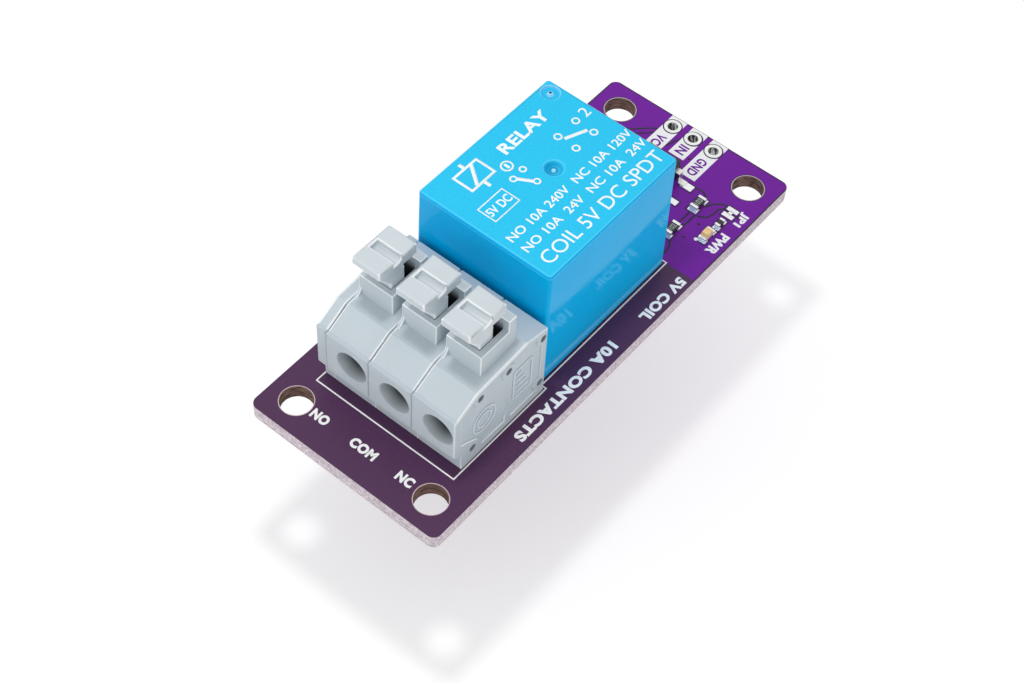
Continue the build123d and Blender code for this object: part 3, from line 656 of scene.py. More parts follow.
@dataclass(frozen=True)
class ResistBoard:
    """Glass-epoxy board: purple resist over copper and over bare laminate, and its milled edges."""

    name: str = "purple_board"
    over_copper: Color = (0.165, 0.006, 0.33)
    over_laminate: Color = (0.082, 0.030, 0.088)
    gap: Color = (0.03, 0.02, 0.045)
    burr: Color = (0.62, 0.5, 0.52)
    edge: Color = (0.695, 0.61, 0.665)
    wall: Color = (0.15, 0.088, 0.07)
    copper_shade: float = 0.08
    laminate_shade: float = 0.03
    mottle: float = 240.0
    weave: float = 500.0
    weave_bend: float = 1.2
    pour_start: float = 10.95
    pour_inset: float = 0.14
    hole_gap: float = 1.76
    burr_reach: float = 1.68
    face_skin: float = 0.006
    rim_fade: Point = (0.08, 0.03)
    rim_dark: float = 0.6
    fibre: float = 4200.0
    fibre_depth: float = 0.07
    face_roughness: float = 0.34
    cut_roughness: float = 0.85
    ripple: float = 1500.0
    ripple_depth: float = 0.0035
    gloss: float = 0.22
    edge_depth: float = 0.4
    fibre_shades: Point = (0.4, 0.25)
    streaks: float = 900.0
    streak_flat: Place = (1.0, 1.0, 3.0)
    streak_edge: Point = (0.45, 0.7)
    streak_share: float = 0.5
    streak_shade: float = 0.35
    layers: float = 1100.0
    layer_flat: Place = (1.0, 1.0, 6.0)
    layer_edge: Point = (0.36, 0.64)
    wall_shades: Point = (0.6, 1.0)

    def build(self) -> bpy.types.Material:
        """Makes the finish, with its colours placed by X, Y and Z.

        Returns:
            Material of the board.
        """
        work = Shading(self.name)
        x, y, z = work.axes()
        away = (work.math("ABSOLUTE", x), work.math("ABSOLUTE", y))
        off_hole = work.reach(*away, FIXING_HOLE)
        cloud = work.noise(self.mottle, 3.0)
        bright = work.varied(cloud, self.over_copper, self.copper_shade, self.copper_shade)
        dull = work.varied(self._weave(work), self.over_laminate, self.laminate_shade, self.laminate_shade)
        clear = work.times(work.above(off_hole, self.hole_gap), self._inside(work, away, self.pour_inset))
        resist = work.blend(work.above(y, self.pour_start), dull, work.blend(clear, self.gap, bright))
        resist = work.blend(work.below(off_hole, self.burr_reach), resist, self.burr)
        middle = BOARD_TOP / 2
        depth = work.math("ABSOLUTE", work.math("SUBTRACT", z, middle * MM))
        on_face = work.above(depth, middle - self.face_skin)
        rim = work.slope(depth, *[middle - step for step in self.rim_fade], 0.0, self.rim_dark)
        fibre = work.noise(self.fibre, 4.0)
        cut = work.blend(rim, self._cut(work, away, fibre), self.over_laminate)
        color = work.blend(on_face, cut, resist)
        rough = work.blend(on_face, even(self.cut_roughness), even(self.face_roughness))
        ripple = work.bump(work.noise(self.ripple), self.ripple_depth)
        normal = work.bump(work.times(fibre, work.other(on_face)), self.fibre_depth, ripple)
        return work.surface(color, rough, normal, Specular_IOR_Level=self.gloss)

    def _cut(self, work: Shading, away: tuple, fibre: object) -> bpy.types.NodeSocket:
        """Colour of the milled edge outside and of the drilled walls inside.

        Args:
            work: the material's tree.
            away: distances from the board's two middle planes.
            fibre: noise of the cut fibres.

        Returns:
            The socket with the colour.
        """
        layers = work.noise(self.layers, 4.0, work.stretched(self.layer_flat))
        streaks = work.noise(self.streaks, 3.0, work.stretched(self.streak_flat))
        edge = work.varied(work.span(fibre, *MIDDLE), self.edge, *self.fibre_shades)
        dark = work.span(streaks, *self.streak_edge, 0.0, self.streak_share)
        edge = work.blend(dark, edge, shaded(self.edge, -self.streak_shade))
        wall = work.varied(work.span(layers, *self.layer_edge), self.wall, *self.wall_shades)
        return work.blend(self._inside(work, away, self.edge_depth), edge, wall)

    @staticmethod
    def _inside(work: Shading, away: tuple, inset: float) -> bpy.types.NodeSocket:
        """1 where the distance from the board's outline is more than an inset."""
        return work.times(work.below(away[0], BOARD_HALF_WIDTH - inset),
                          work.below(away[1], BOARD_HALF_LENGTH - inset))

    def _weave(self, work: Shading) -> bpy.types.NodeSocket:
        """Faint glass weave that shows through the resist.

        Args:
            work: the material's tree.

        Returns:
            The socket with the weave, from 0 to 1.
        """
        waves = []
        for direction in ("X", "Y"):
            node = work.add("ShaderNodeTexWave", bands_direction=direction)
            work.feed(node.inputs["Vector"], work.place)
            node.inputs["Scale"].default_value = self.weave
            node.inputs["Distortion"].default_value = self.weave_bend
            waves.append(node.outputs["Fac"])
        return work.times(*waves)


@dataclass(frozen=True)
class Resist:
    """Resist on a raised track, or on the bare gap beside it."""

    name: str
    color: Color
    roughness: float = 0.3
    spread: float = 0.05
    shade: float = 0.1
    mottle: float = 600.0
    grain: float = 2400.0
    ripple: float = 1500.0
    relief: float = 0.003
    gloss: float = 0.22

    def build(self) -> bpy.types.Material:
        """Makes the finish.

        Returns:
            Material of the resist.
        """
        work = Shading(self.name)
        color = work.varied(work.noise(self.mottle, 3.0), self.color, self.shade, self.shade)
        low, high = self.roughness - self.spread, self.roughness + self.spread
        rough = work.span(work.noise(self.grain), *MIDDLE, low, high)
        normal = work.bump(work.noise(self.ripple), self.relief)
        return work.surface(color, rough, normal, Specular_IOR_Level=self.gloss)


@dataclass(frozen=True)
class Ink:
    """Printed ink with a slightly grainy coat."""

    name: str
    color: Color = (0.95, 0.95, 0.95)
    thin: Color = (0.86, 0.86, 0.88)
    roughness: float = 0.5
    spread: float = 0.08
    grain: float = 7000.0
    coat: Point = (0.3, 0.55)
    relief: float = 0.004

    def build(self) -> bpy.types.Material:
        """Makes the finish.

        Returns:
            Material of the ink.
        """
        work = Shading(self.name)
        grain = work.noise(self.grain, 3.0)
        color = work.blend(work.span(grain, *self.coat), self.thin, self.color)
        rough = work.span(grain, *MIDDLE, self.roughness - self.spread, self.roughness + self.spread)
        return work.surface(color, rough, work.bump(grain, self.relief))


@dataclass(frozen=True)
class Metal:
    """Metal with a soft stain and either fine draw lines or small pits."""

    name: str
    color: Color
    roughness: float = 0.28
    lines: Place = (1.0, 1.0, 1.0)
    grain: float = 3000.0
    relief: float = 0.003
    metal: float = 1.0
    smoother: float = 0.08
    rougher: float = 0.1
    cloud: float = 420.0
    stain: float = 0.12

    def build(self) -> bpy.types.Material:
        """Makes the finish.

        Returns:
            Material of the metal.
        """
        work = Shading(self.name)
        fine = work.noise(self.grain, 3.0, work.stretched(self.lines))
        color = work.varied(work.noise(self.cloud), self.color, self.stain, self.stain / 2)
        rough = work.span(fine, *MOST, self.roughness - self.smoother, self.roughness + self.rougher)
        return work.surface(color, rough, work.bump(fine, self.relief), Metallic=self.metal)


@dataclass(frozen=True)
class PlatedHole:
    """Bright ring on the face and a dark, streaky plated wall below it: painted shade with painted reflection
    streaks in the barrel.
    """

    name: str = "plated_hole"
    ring: Color = (0.9, 0.9, 0.89)
    # painted shade and painted reflection streaks of the barrel's wall
    dark: Color = (0.03, 0.03, 0.028)
    light: Color = (0.75, 0.76, 0.74)
    ring_shade: float = 0.05
    ring_grain: float = 3000.0
    streaks: float = 2600.0
    streak_length: Place = (1.0, 1.0, 0.25)
    streak_edge: Point = (0.45, 0.53)
    streak_depth: float = 0.02
    grain: float = 5000.0
    roughness: Point = (0.3, 0.45)
    metal: float = 0.55

    def build(self) -> bpy.types.Material:
        """Makes the finish.

        Returns:
            Material of a plated hole.
        """
        work = Shading(self.name)
        below = work.between(work.axes()[2], 0.0, BOARD_TOP)
        streak = work.noise(self.streaks, 2.0, work.stretched(self.streak_length))
        # the wall is painted shade with painted reflection streaks
        wall = work.blend(work.span(streak, *self.streak_edge), self.dark, self.light)
        rim = work.varied(work.noise(self.ring_grain), self.ring, self.ring_shade, 0.0)
        rough = work.span(work.noise(self.grain), *MIDDLE, *self.roughness)
        normal = work.bump(streak, self.streak_depth)
        return work.surface(work.blend(below, rim, wall), rough, normal, Metallic=self.metal)


@dataclass(frozen=True)
class Winding:
    """Enamelled wire wound in even turns, with painted shade between the turns and a painted highlight on
    each.
    """

    name: str = "coil_wire"
    color: Color = (0.55, 0.2, 0.07)
    turns: float = 1900.0
    darker: float = 0.5
    lighter: float = 0.15
    grain: float = 3000.0
    roughness: Point = (0.22, 0.34)
    relief: float = 0.02
    metal: float = 0.85

    def build(self) -> bpy.types.Material:
        """Makes the finish.

        Returns:
            Material of the winding.
        """
        work = Shading(self.name)
        # the colour swings with each turn: painted shade between turns and a painted highlight on each
        turn = work.math("SINE", work.times(work.axes()[2], self.turns * math.tau))
        color = work.varied(work.span(turn, -1.0, 1.0), self.color, self.darker, self.lighter)
        rough = work.span(work.noise(self.grain), *MIDDLE, *self.roughness)
        return work.surface(color, rough, work.bump(turn, self.relief), Metallic=self.metal)


@dataclass(frozen=True)
class LampResin:
    """Clear amber resin of a small indicator light."""

    name: str = "lamp_resin"
    color: Color = (0.9, 0.56, 0.2)
    core: Color = (0.95, 0.68, 0.32)
    cloud: float = 2200.0
    cloud_edge: Point = (0.35, 0.65)
    grain: float = 6000.0
    roughness: Point = (0.2, 0.3)
    ripple: float = 4000.0
    relief: float = 0.004
    milk: float = 0.25
    milk_depth: float = 0.4
    coat: float = 0.4

    def build(self) -> bpy.types.Material:
        """Makes the finish.

        Returns:
            Material of the lens.
        """
        work = Shading(self.name)
        cloud = work.span(work.noise(self.cloud, 1.0), *self.cloud_edge)
        rough = work.span(work.noise(self.grain), *MIDDLE, *self.roughness)
        normal = work.bump(work.noise(self.ripple), self.relief)
        color = work.blend(cloud, self.color, self.core)
        return work.surface(color, rough, normal, Subsurface_Weight=self.milk,
                            Subsurface_Scale=self.milk_depth * MM, Coat_Weight=self.coat)


@dataclass(frozen=True)
class Backdrop:
    """Pale paper of the studio floor, plain white where it is seen and a quiet grey to bounced light."""

    name: str = "paper"
    seen: Color = (0.99, 0.99, 0.99)
    bounced: Color = (0.93, 0.93, 0.93)
    cloud: float = 40.0
    shade: float = 0.006
    glow: Point = (0.195, 0.35)
    glow_reach: Point = (70.0, 350.0)

    def build(self) -> bpy.types.Material:
        """Makes the finish, which glows a little more with distance so that it ends in white.

        Returns:
            Material of the floor.
        """
        work = Shading(self.name)
        seen = sight(work.tree)
        white = work.varied(work.noise(self.cloud), self.seen, self.shade, 0.0)
        paper = work.add("ShaderNodeBsdfDiffuse")
        work.feed(paper.inputs["Color"], work.blend(seen, self.bounced, white))
        x, y, _ = work.axes()
        glow = work.slope(work.reach(x, y), *self.glow_reach, *self.glow)
        light = work.add("ShaderNodeEmission")
        work.feed(light.inputs["Strength"], work.times(seen, glow))
        both = work.add("ShaderNodeAddShader")
        work.feed(both.inputs[0], paper.outputs[0])
        work.feed(both.inputs[1], light.outputs[0])
        return work.ended(both)


class Finishes:
    """Every material of the object, built once and kept by name."""

    BLOCK_GREY: Color = (0.525, 0.593, 0.637)
    BUTTON_GREY: Color = (0.59, 0.65, 0.685)
    # painted highlight colour of the rounded edges
    EDGE_HIGHLIGHT_GREY: Color = (0.84, 0.88, 0.9)

    def __init__(self) -> None:
        """Builds the materials."""
        recipes = (
            ResistBoard(),
            Resist("resist_copper", ResistBoard.over_copper),
            Resist("resist_gap", ResistBoard.gap, roughness=0.4),
            Resist("via_resist", (0.05, 0.008, 0.03)),
            Ink("board_ink"),
            Ink("relay_ink", (0.94, 0.97, 0.97), thin=(0.75, 0.9, 0.95), roughness=0.45),
            Ink("chip_ink", (0.6, 0.62, 0.62), thin=(0.4, 0.42, 0.42)),
            RelayPlastic(),
            Moulding("relay_floor", (0.01, 0.18, 0.4), roughness=0.5),
            BlockPlastic("block_grey", self.BLOCK_GREY),
            Moulding("button_grey", self.BUTTON_GREY, roughness=0.38),
            # painted highlight on the rounded edges of the housings and buttons
            Moulding("edge_highlight", self.EDGE_HIGHLIGHT_GREY, shade=0.02, roughness=0.3),
            Moulding("bobbin_cream", (0.7, 0.66, 0.56)),
            Moulding("chip_black", (0.022, 0.022, 0.026), shade=0.3, roughness=0.35, relief=0.006),
            Moulding("package_black", (0.018, 0.018, 0.02), shade=0.25, roughness=0.5, relief=0.008),
            Moulding("lamp_carrier", (0.72, 0.72, 0.66)),
            Metal("tin_plate", (0.76, 0.76, 0.75), roughness=0.3, relief=0.004),
            Metal("bright_solder", (0.9, 0.9, 0.91), roughness=0.24, grain=1400.0, relief=0.012, metal=0.8),
            Metal("magnet_steel", (0.5, 0.5, 0.5), roughness=0.38, lines=(1.0, 1.0, 9.0)),
            Metal("spring_alloy", (0.72, 0.42, 0.2), roughness=0.3, lines=(1.0, 12.0, 1.0)),
            Metal("contact_silver", (0.88, 0.87, 0.84), roughness=0.18),
            Metal("terminal_metal", (0.74, 0.7, 0.6), roughness=0.3, lines=(1.0, 8.0, 8.0)),
            Metal("spring_steel", (0.56, 0.57, 0.58), roughness=0.26, lines=(10.0, 1.0, 1.0)),
            PlatedHole(),
            Winding(),
            LampResin(),
        )
        self.materials = {recipe.name: recipe.build() for recipe in recipes}

    def __getitem__(self, name: str) -> bpy.types.Material:
        """Material of a name."""
        return self.materials[name]


# Making and placing pieces


def linked(name: str, data: bpy.types.ID) -> bpy.types.Object:
    """Puts an object in the scene.

    Args:
        name: name of the object.
        data: its mesh, curve, lamp or camera.

    Returns:
        The object.
    """
    thing = bpy.data.objects.new(name, data)
    bpy.context.scene.collection.objects.link(thing)
    return thing


def plain_mesh(holder: bpy.types.Object) -> bpy.types.Mesh:
    """Turns an object and its modifiers into a plain mesh, and removes it.

    Args:
        holder: object that is used up.

    Returns:
        The mesh.
    """
    bpy.context.view_layer.update()
    graph = bpy.context.evaluated_depsgraph_get()
    mesh = bpy.data.meshes.new_from_object(holder.evaluated_get(graph))
    bpy.data.objects.remove(holder)
    return mesh


def mesh_of(work: bmesh.types.BMesh, name: str) -> bpy.types.Mesh:
    """Turns a mesh in work into a finished one.

    Args:
        work: mesh in work, which is used up.
        name: name of the mesh.

    Returns:
        The mesh.
    """
    mesh = bpy.data.meshes.new(name)
    work.to_mesh(mesh)
    work.free()
    return mesh


def joined(meshes: list[bpy.types.Mesh]) -> bpy.types.Mesh:
    """Joins several meshes.

    Args:
        meshes: meshes of one finish.

    Returns:
        One mesh.
    """
    work = bmesh.new()
    for mesh in meshes:
        work.from_mesh(mesh)
    return mesh_of(work, "joined")


def band(work: bmesh.types.BMesh, lower: list, upper: list) -> None:
    """Closes the wall between two loops of the same number of corners.

    Args:
        work: mesh in work.
        lower: corners of the lower loop, anticlockwise from above.
        upper: corners of the upper loop.
    """
    for index, corner in enumerate(lower):
        after = (index + 1) % len(lower)
        work.faces.new((corner, lower[after], upper[after], upper[index]))


def slab(outline: list[Point], low: float, high: float) -> bpy.types.Mesh:
    """Makes a flat plate from an outline in X and Y.

    Args:
        outline: corners in millimetres, anticlockwise from above.
        low: Z of its underside.
        high: Z of its top.

    Returns:
        A closed mesh.
    """
    work = bmesh.new()
    lower, upper = ([work.verts.new(metres(x, y, level)) for x, y in outline] for level in (low, high))
    work.faces.new(lower[::-1])
    work.faces.new(upper)
    band(work, lower, upper)
    return mesh_of(work, "slab")


def box_outline(low: Point, high: Point) -> list[Point]:
    """Corners of a rectangle between its lowest and its highest one."""
    return [low, (high[0], low[1]), high, (low[0], high[1])]


def rectangle(x: float, y: float, width: float, length: float) -> list[Point]:
    """Corners of a rectangle round a centre."""
    half_x, half_y = width / 2, length / 2
    return box_outline((x - half_x, y - half_y), (x + half_x, y + half_y))


def arc(center: Point, radius: float, start: float, end: float, steps: int = 24) -> list[Point]:
    """Points on an arc, angles in degrees."""
    turns = [math.radians(start + (end - start) * step / steps) for step in range(steps + 1)]
    return [(center[0] + radius * math.cos(turn), center[1] + radius * math.sin(turn)) for turn in turns]


@dataclass
class Bench:
    """Where pieces are finished: it gives each its material and its body."""

    SHARP = math.radians(32.0)
    FLAT = math.radians(0.4)
    WELD = 0.0005

    frame: dict
    finishes: Finishes
    count: int = 0

    def place(self, name: str, mesh: bpy.types.Mesh, finish: str, slot: str, body: str = "board",
              instead_of: str = "", edge: str = "") -> bpy.types.Object:
        """Adds a finished mesh as a piece of the object.

        Args:
            name: name of the piece.
            mesh: its mesh, already in place.
            finish: name of its material.
            slot: the record's material slot; not used.
            body: body that it moves with.
            instead_of: solid that it stands for, if there is one.
            edge: name of the material of its rounded edges, if it has one.

        Returns:
            The new object.
        """
        mesh.name = name
        for index, kind in enumerate((finish, edge) if edge else (finish,)):
            if len(mesh.materials) <= index:
                mesh.materials.append(None)
            mesh.materials[index] = self.finishes[kind]
        piece = linked(name, mesh)
        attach(piece, body)
        if instead_of:
            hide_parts(instead_of)
        self.count += 1
        LOG.info("%s: %d faces on %s", name, len(mesh.polygons), body)
        return piece

    def dress(self, finish: str, *nodes: str) -> None:
        """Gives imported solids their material.

        Args:
            finish: name of the material.
            nodes: names of the solids.
        """
        for node in nodes:
            solid = self.frame["nodes"][node]
            if not solid.material_slots:
                solid.data.materials.append(self.finishes[finish])
            for slot in solid.material_slots:
                slot.material = self.finishes[finish]
            LOG.info("%s: dressed in %s", node, finish)

    def softened(self, node: str, width: float, segments: int = 2, shortest: float = 0.0,
                 edged: bool = False) -> bpy.types.Mesh:
        """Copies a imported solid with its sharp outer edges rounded.

        Args:
            node: name of the solid.
            width: width of the rounding, in millimetres.
            segments: steps across it.
            shortest: edges that meet a sharp edge shorter than this stay sharp.
            edged: whether the roundings take the mesh's second material.

        Returns:
            A new mesh in the solid's place.
        """
        mesh = self.frame["nodes"][node].data.copy()
        mesh.materials.clear()
        for _ in range(1 + edged):
            mesh.materials.append(None)
        work = bmesh.new()
        work.from_mesh(mesh)
        bmesh.ops.remove_doubles(work, verts=work.verts, dist=self.WELD * MM)
        bmesh.ops.dissolve_limit(work, angle_limit=self.FLAT, verts=work.verts, edges=work.edges)
        weight = work.edges.layers.float.new("bevel_weight_edge")
        sharp = {edge for edge in work.edges if edge.is_convex and edge.calc_face_angle(0.0) > self.SHARP}
        for edge in sharp:
            beside = [other for vertex in edge.verts for other in vertex.link_edges if other in sharp]
            edge[weight] = float(min(other.calc_length() for other in beside) >= shortest * MM)
        work.to_mesh(mesh)
        work.free()
        return self.bevelled(mesh, width, segments, limit_method="WEIGHT", harden_normals=True,
                             use_clamp_overlap=False, miter_outer="MITER_ARC", material=1 if edged else -1)

    @staticmethod
    def bevelled(mesh: bpy.types.Mesh, width: float, segments: int, **settings: object) -> bpy.types.Mesh:
        """Rounds the edges of a mesh.

        Args:
            mesh: mesh to round.
            width: width of the rounding, in millimetres.
            segments: steps across it.
            settings: the bevel's other settings.

        Returns:
            The new mesh.
        """
        holder = linked("holder", mesh)
        bevel = holder.modifiers.new("bevel", "BEVEL")
        for key, value in {"width": width * MM, "segments": segments, **settings}.items():
            setattr(bevel, key, value)
        return plain_mesh(holder)


@dataclass(frozen=True)
class Word:
    """Word or number of the print, fitted to a width and a height."""

    SPREAD = 1.5
    STEPS = 4
    DEPTH = 0.05

    text: str
    center: Point
    width: float
    height: float
    weight: float = 0.0
    way: Way = Way.UP_BOARD

    def build(self, level: float, rise: float) -> bpy.types.Mesh:
        """Makes the letters, which stand up from a level face.

        Args:
            level: Z of the face.
            rise: how far the letters stand up from it.

        Returns:
            Mesh of the letters.
        """
        curve = bpy.data.curves.new("letters", "FONT")
        curve.body = self.text
        curve.size = 1.0
        curve.offset = self.weight
        curve.space_character = 1.0 + self.SPREAD * self.weight
        curve.resolution_u = self.STEPS
        curve.fill_mode = "BOTH"
        curve.extrude = self.DEPTH
        mesh = plain_mesh(linked("letters", curve))
        spans = [(min(side), max(side)) for side in zip(*(vertex.co for vertex in mesh.vertices))]
        foot = Vector(((spans[0][0] + spans[0][1]) / 2, (spans[1][0] + spans[1][1]) / 2, spans[2][0]))
        along, up = (Vector(axis) for axis in self.way.value)
        turn = Matrix((along, up, along.cross(up))).transposed()
        size = Matrix.Diagonal([goal / (high - low) * MM
                                for goal, (low, high) in zip((self.width, self.height, rise), spans)])
        seat = Matrix.Translation(metres(*self.center, level))
        mesh.transform(seat @ (turn @ size).to_4x4() @ Matrix.Translation(-foot))
        return mesh


# Geometry node tools


class NodeTool:
    """Geometry node tree with named inputs, whose result is made a plain mesh."""

    NAME = ""
    SOCKETS: dict[str, str] = {}

    def __init__(self) -> None:
        """Builds the tree and its named inputs."""
        self.tree = bpy.data.node_groups.new(self.NAME, "GeometryNodeTree")
        face = self.tree.interface
        face.new_socket("Geometry", in_out="INPUT", socket_type="NodeSocketGeometry")
        self.inputs = {name: face.new_socket(name, in_out="INPUT", socket_type=kind).identifier
                       for name, kind in self.SOCKETS.items()}
        face.new_socket("Geometry", in_out="OUTPUT", socket_type="NodeSocketGeometry")
        self.source = self.add("GroupInput", "Node")
        self.wire()

    def wire(self) -> None:
        """Links the tree; each tool has its own way."""
        raise NotImplementedError

    def add(self, kind: str, family: str = "GeometryNode") -> bpy.types.Node:
        """New node of a kind, from a family of nodes."""
        return self.tree.nodes.new(family + kind)

    def link(self, *links: tuple[bpy.types.Node, str, bpy.types.Node, str]) -> None:
        """Links nodes.

        Args:
            links: for each, a node, its output, the node that takes it and that node's input.
        """
        for start, output, end, entry in links:
            self.tree.links.new(start.outputs[output], end.inputs[entry])

    def end(self, last: bpy.types.Node, output: str) -> None:
        """Ends the tree: the instances are made real and take the material.

        Args:
            last: node with the finished shape.
            output: name of its output.
        """
        realize, material = self.add("RealizeInstances"), self.add("SetMaterial")
        self.link((last, output, realize, "Geometry"), (realize, "Geometry", material, "Geometry"),
                  (self.source, "Material", material, "Material"),
                  (material, "Geometry", self.add("GroupOutput", "Node"), "Geometry"))

    def made(self, data: bpy.types.ID, values: dict[str, object]) -> bpy.types.Mesh:
        """Runs the tree on a curve or a mesh.

        Args:
            data: the curve or mesh.
            values: value of each named input.

        Returns:
            One plain mesh.
        """
        holder = linked(self.NAME, data)
        modifier = holder.modifiers.new(self.NAME, "NODES")
        modifier.node_group = self.tree
        for name, value in values.items():
            modifier[self.inputs[name]] = value
        return plain_mesh(holder)


class StripTool(NodeTool):
    """Geometry nodes that lay a flat strip along a line."""

    NAME = "lay_strip"
    SOCKETS = {"Width": "NodeSocketFloat", "Height": "NodeSocketFloat", "Corner": "NodeSocketFloat",
               "Material": "NodeSocketMaterial"}
    CORNER_STEPS = 4

    def wire(self) -> None:
        """Rounds the line's corners, sets its normals upright and sweeps a flat profile along it."""
        fillet, upright = self.add("FilletCurve"), self.add("SetCurveNormal")
        profile, sweep = self.add("CurvePrimitiveQuadrilateral"), self.add("CurveToMesh")
        fillet.mode = "POLY"
        fillet.inputs["Count"].default_value = self.CORNER_STEPS
        upright.mode = "Z_UP"
        sweep.inputs["Fill Caps"].default_value = True
        self.link((self.source, "Geometry", fillet, "Curve"), (self.source, "Corner", fillet, "Radius"),
                  (fillet, "Curve", upright, "Curve"), (upright, "Curve", sweep, "Curve"),
                  (self.source, "Width", profile, "Width"), (self.source, "Height", profile, "Height"),
                  (profile, "Curve", sweep, "Profile Curve"))
        self.end(sweep, "Mesh")

    def lay(self, lines: Sequence[Sequence[Point]], height: float, width: float, thickness: float,
            material: bpy.types.Material, closed: bool = False, corner: float = 0.0) -> bpy.types.Mesh:
        """Lays strips along lines on a level face.

        Args:
            lines: each line's points in millimetres.
            height: Z of the strips' middle.
            width: width of a strip.
            thickness: its thickness.
            material: its material.
            closed: whether each line returns to its start.
            corner: radius at the corners.

        Returns:
            One plain mesh.
        """
        curve = bpy.data.curves.new("line", "CURVE")
        curve.dimensions = "3D"
        for line in lines:
            spline = curve.splines.new("POLY")
            spline.points.add(len(line) - 1)
            for point, (x, y) in zip(spline.points, line):
                point.co = (*metres(x, y, height), 1.0)
            spline.use_cyclic_u = closed
        return self.made(curve, {"Width": width * MM, "Height": thickness * MM, "Corner": corner * MM,
                                 "Material": material})


class SpotTool(NodeTool):
    """Geometry nodes that set a small turned piece on each of a set of points."""

    NAME = "set_spots"
    SOCKETS = {"Low Radius": "NodeSocketFloat", "High Radius": "NodeSocketFloat", "Depth": "NodeSocketFloat",
               "Sides": "NodeSocketInt", "Seed": "NodeSocketInt", "Material": "NodeSocketMaterial"}

    def wire(self) -> None:
        """Sets a cone on each point, with a small random turn round its axis."""
        cone, turn = self.add("MeshCone"), self.add("RandomValue", "FunctionNode")
        points, scatter = self.add("MeshToPoints"), self.add("InstanceOnPoints")
        turn.data_type = "FLOAT_VECTOR"
        turn.inputs["Max"].default_value = (0.0, 0.0, math.tau)
        self.link((self.source, "Geometry", points, "Mesh"), (self.source, "Sides", cone, "Vertices"),
                  (self.source, "Low Radius", cone, "Radius Bottom"),
                  (self.source, "High Radius", cone, "Radius Top"), (self.source, "Depth", cone, "Depth"),
                  (self.source, "Seed", turn, "Seed"), (points, "Points", scatter, "Points"),
                  (cone, "Mesh", scatter, "Instance"), (turn, "Value", scatter, "Rotation"))
        self.end(scatter, "Instances")

    def set(self, spots: list[Place], radii: Point, depth: float, material: bpy.types.Material,
            sides: int = 24, seed: int = 3) -> bpy.types.Mesh:
        """Makes turned pieces with their low face on each point.

        Args:
            spots: points in millimetres.
            radii: radius of the low and the high face.
            depth: height of a piece.
            material: its material.
            sides: number of sides.
            seed: seed of the random turn.

        Returns:
            One plain mesh.
        """
        mesh = bpy.data.meshes.new("spots")
        mesh.from_pydata([metres(*spot) for spot in spots], [], [])
        low, high = radii
        return self.made(mesh, {"Low Radius": low * MM, "High Radius": high * MM, "Depth": depth * MM,
                                "Sides": sides, "Seed": seed, "Material": material})


# Sub-assemblies


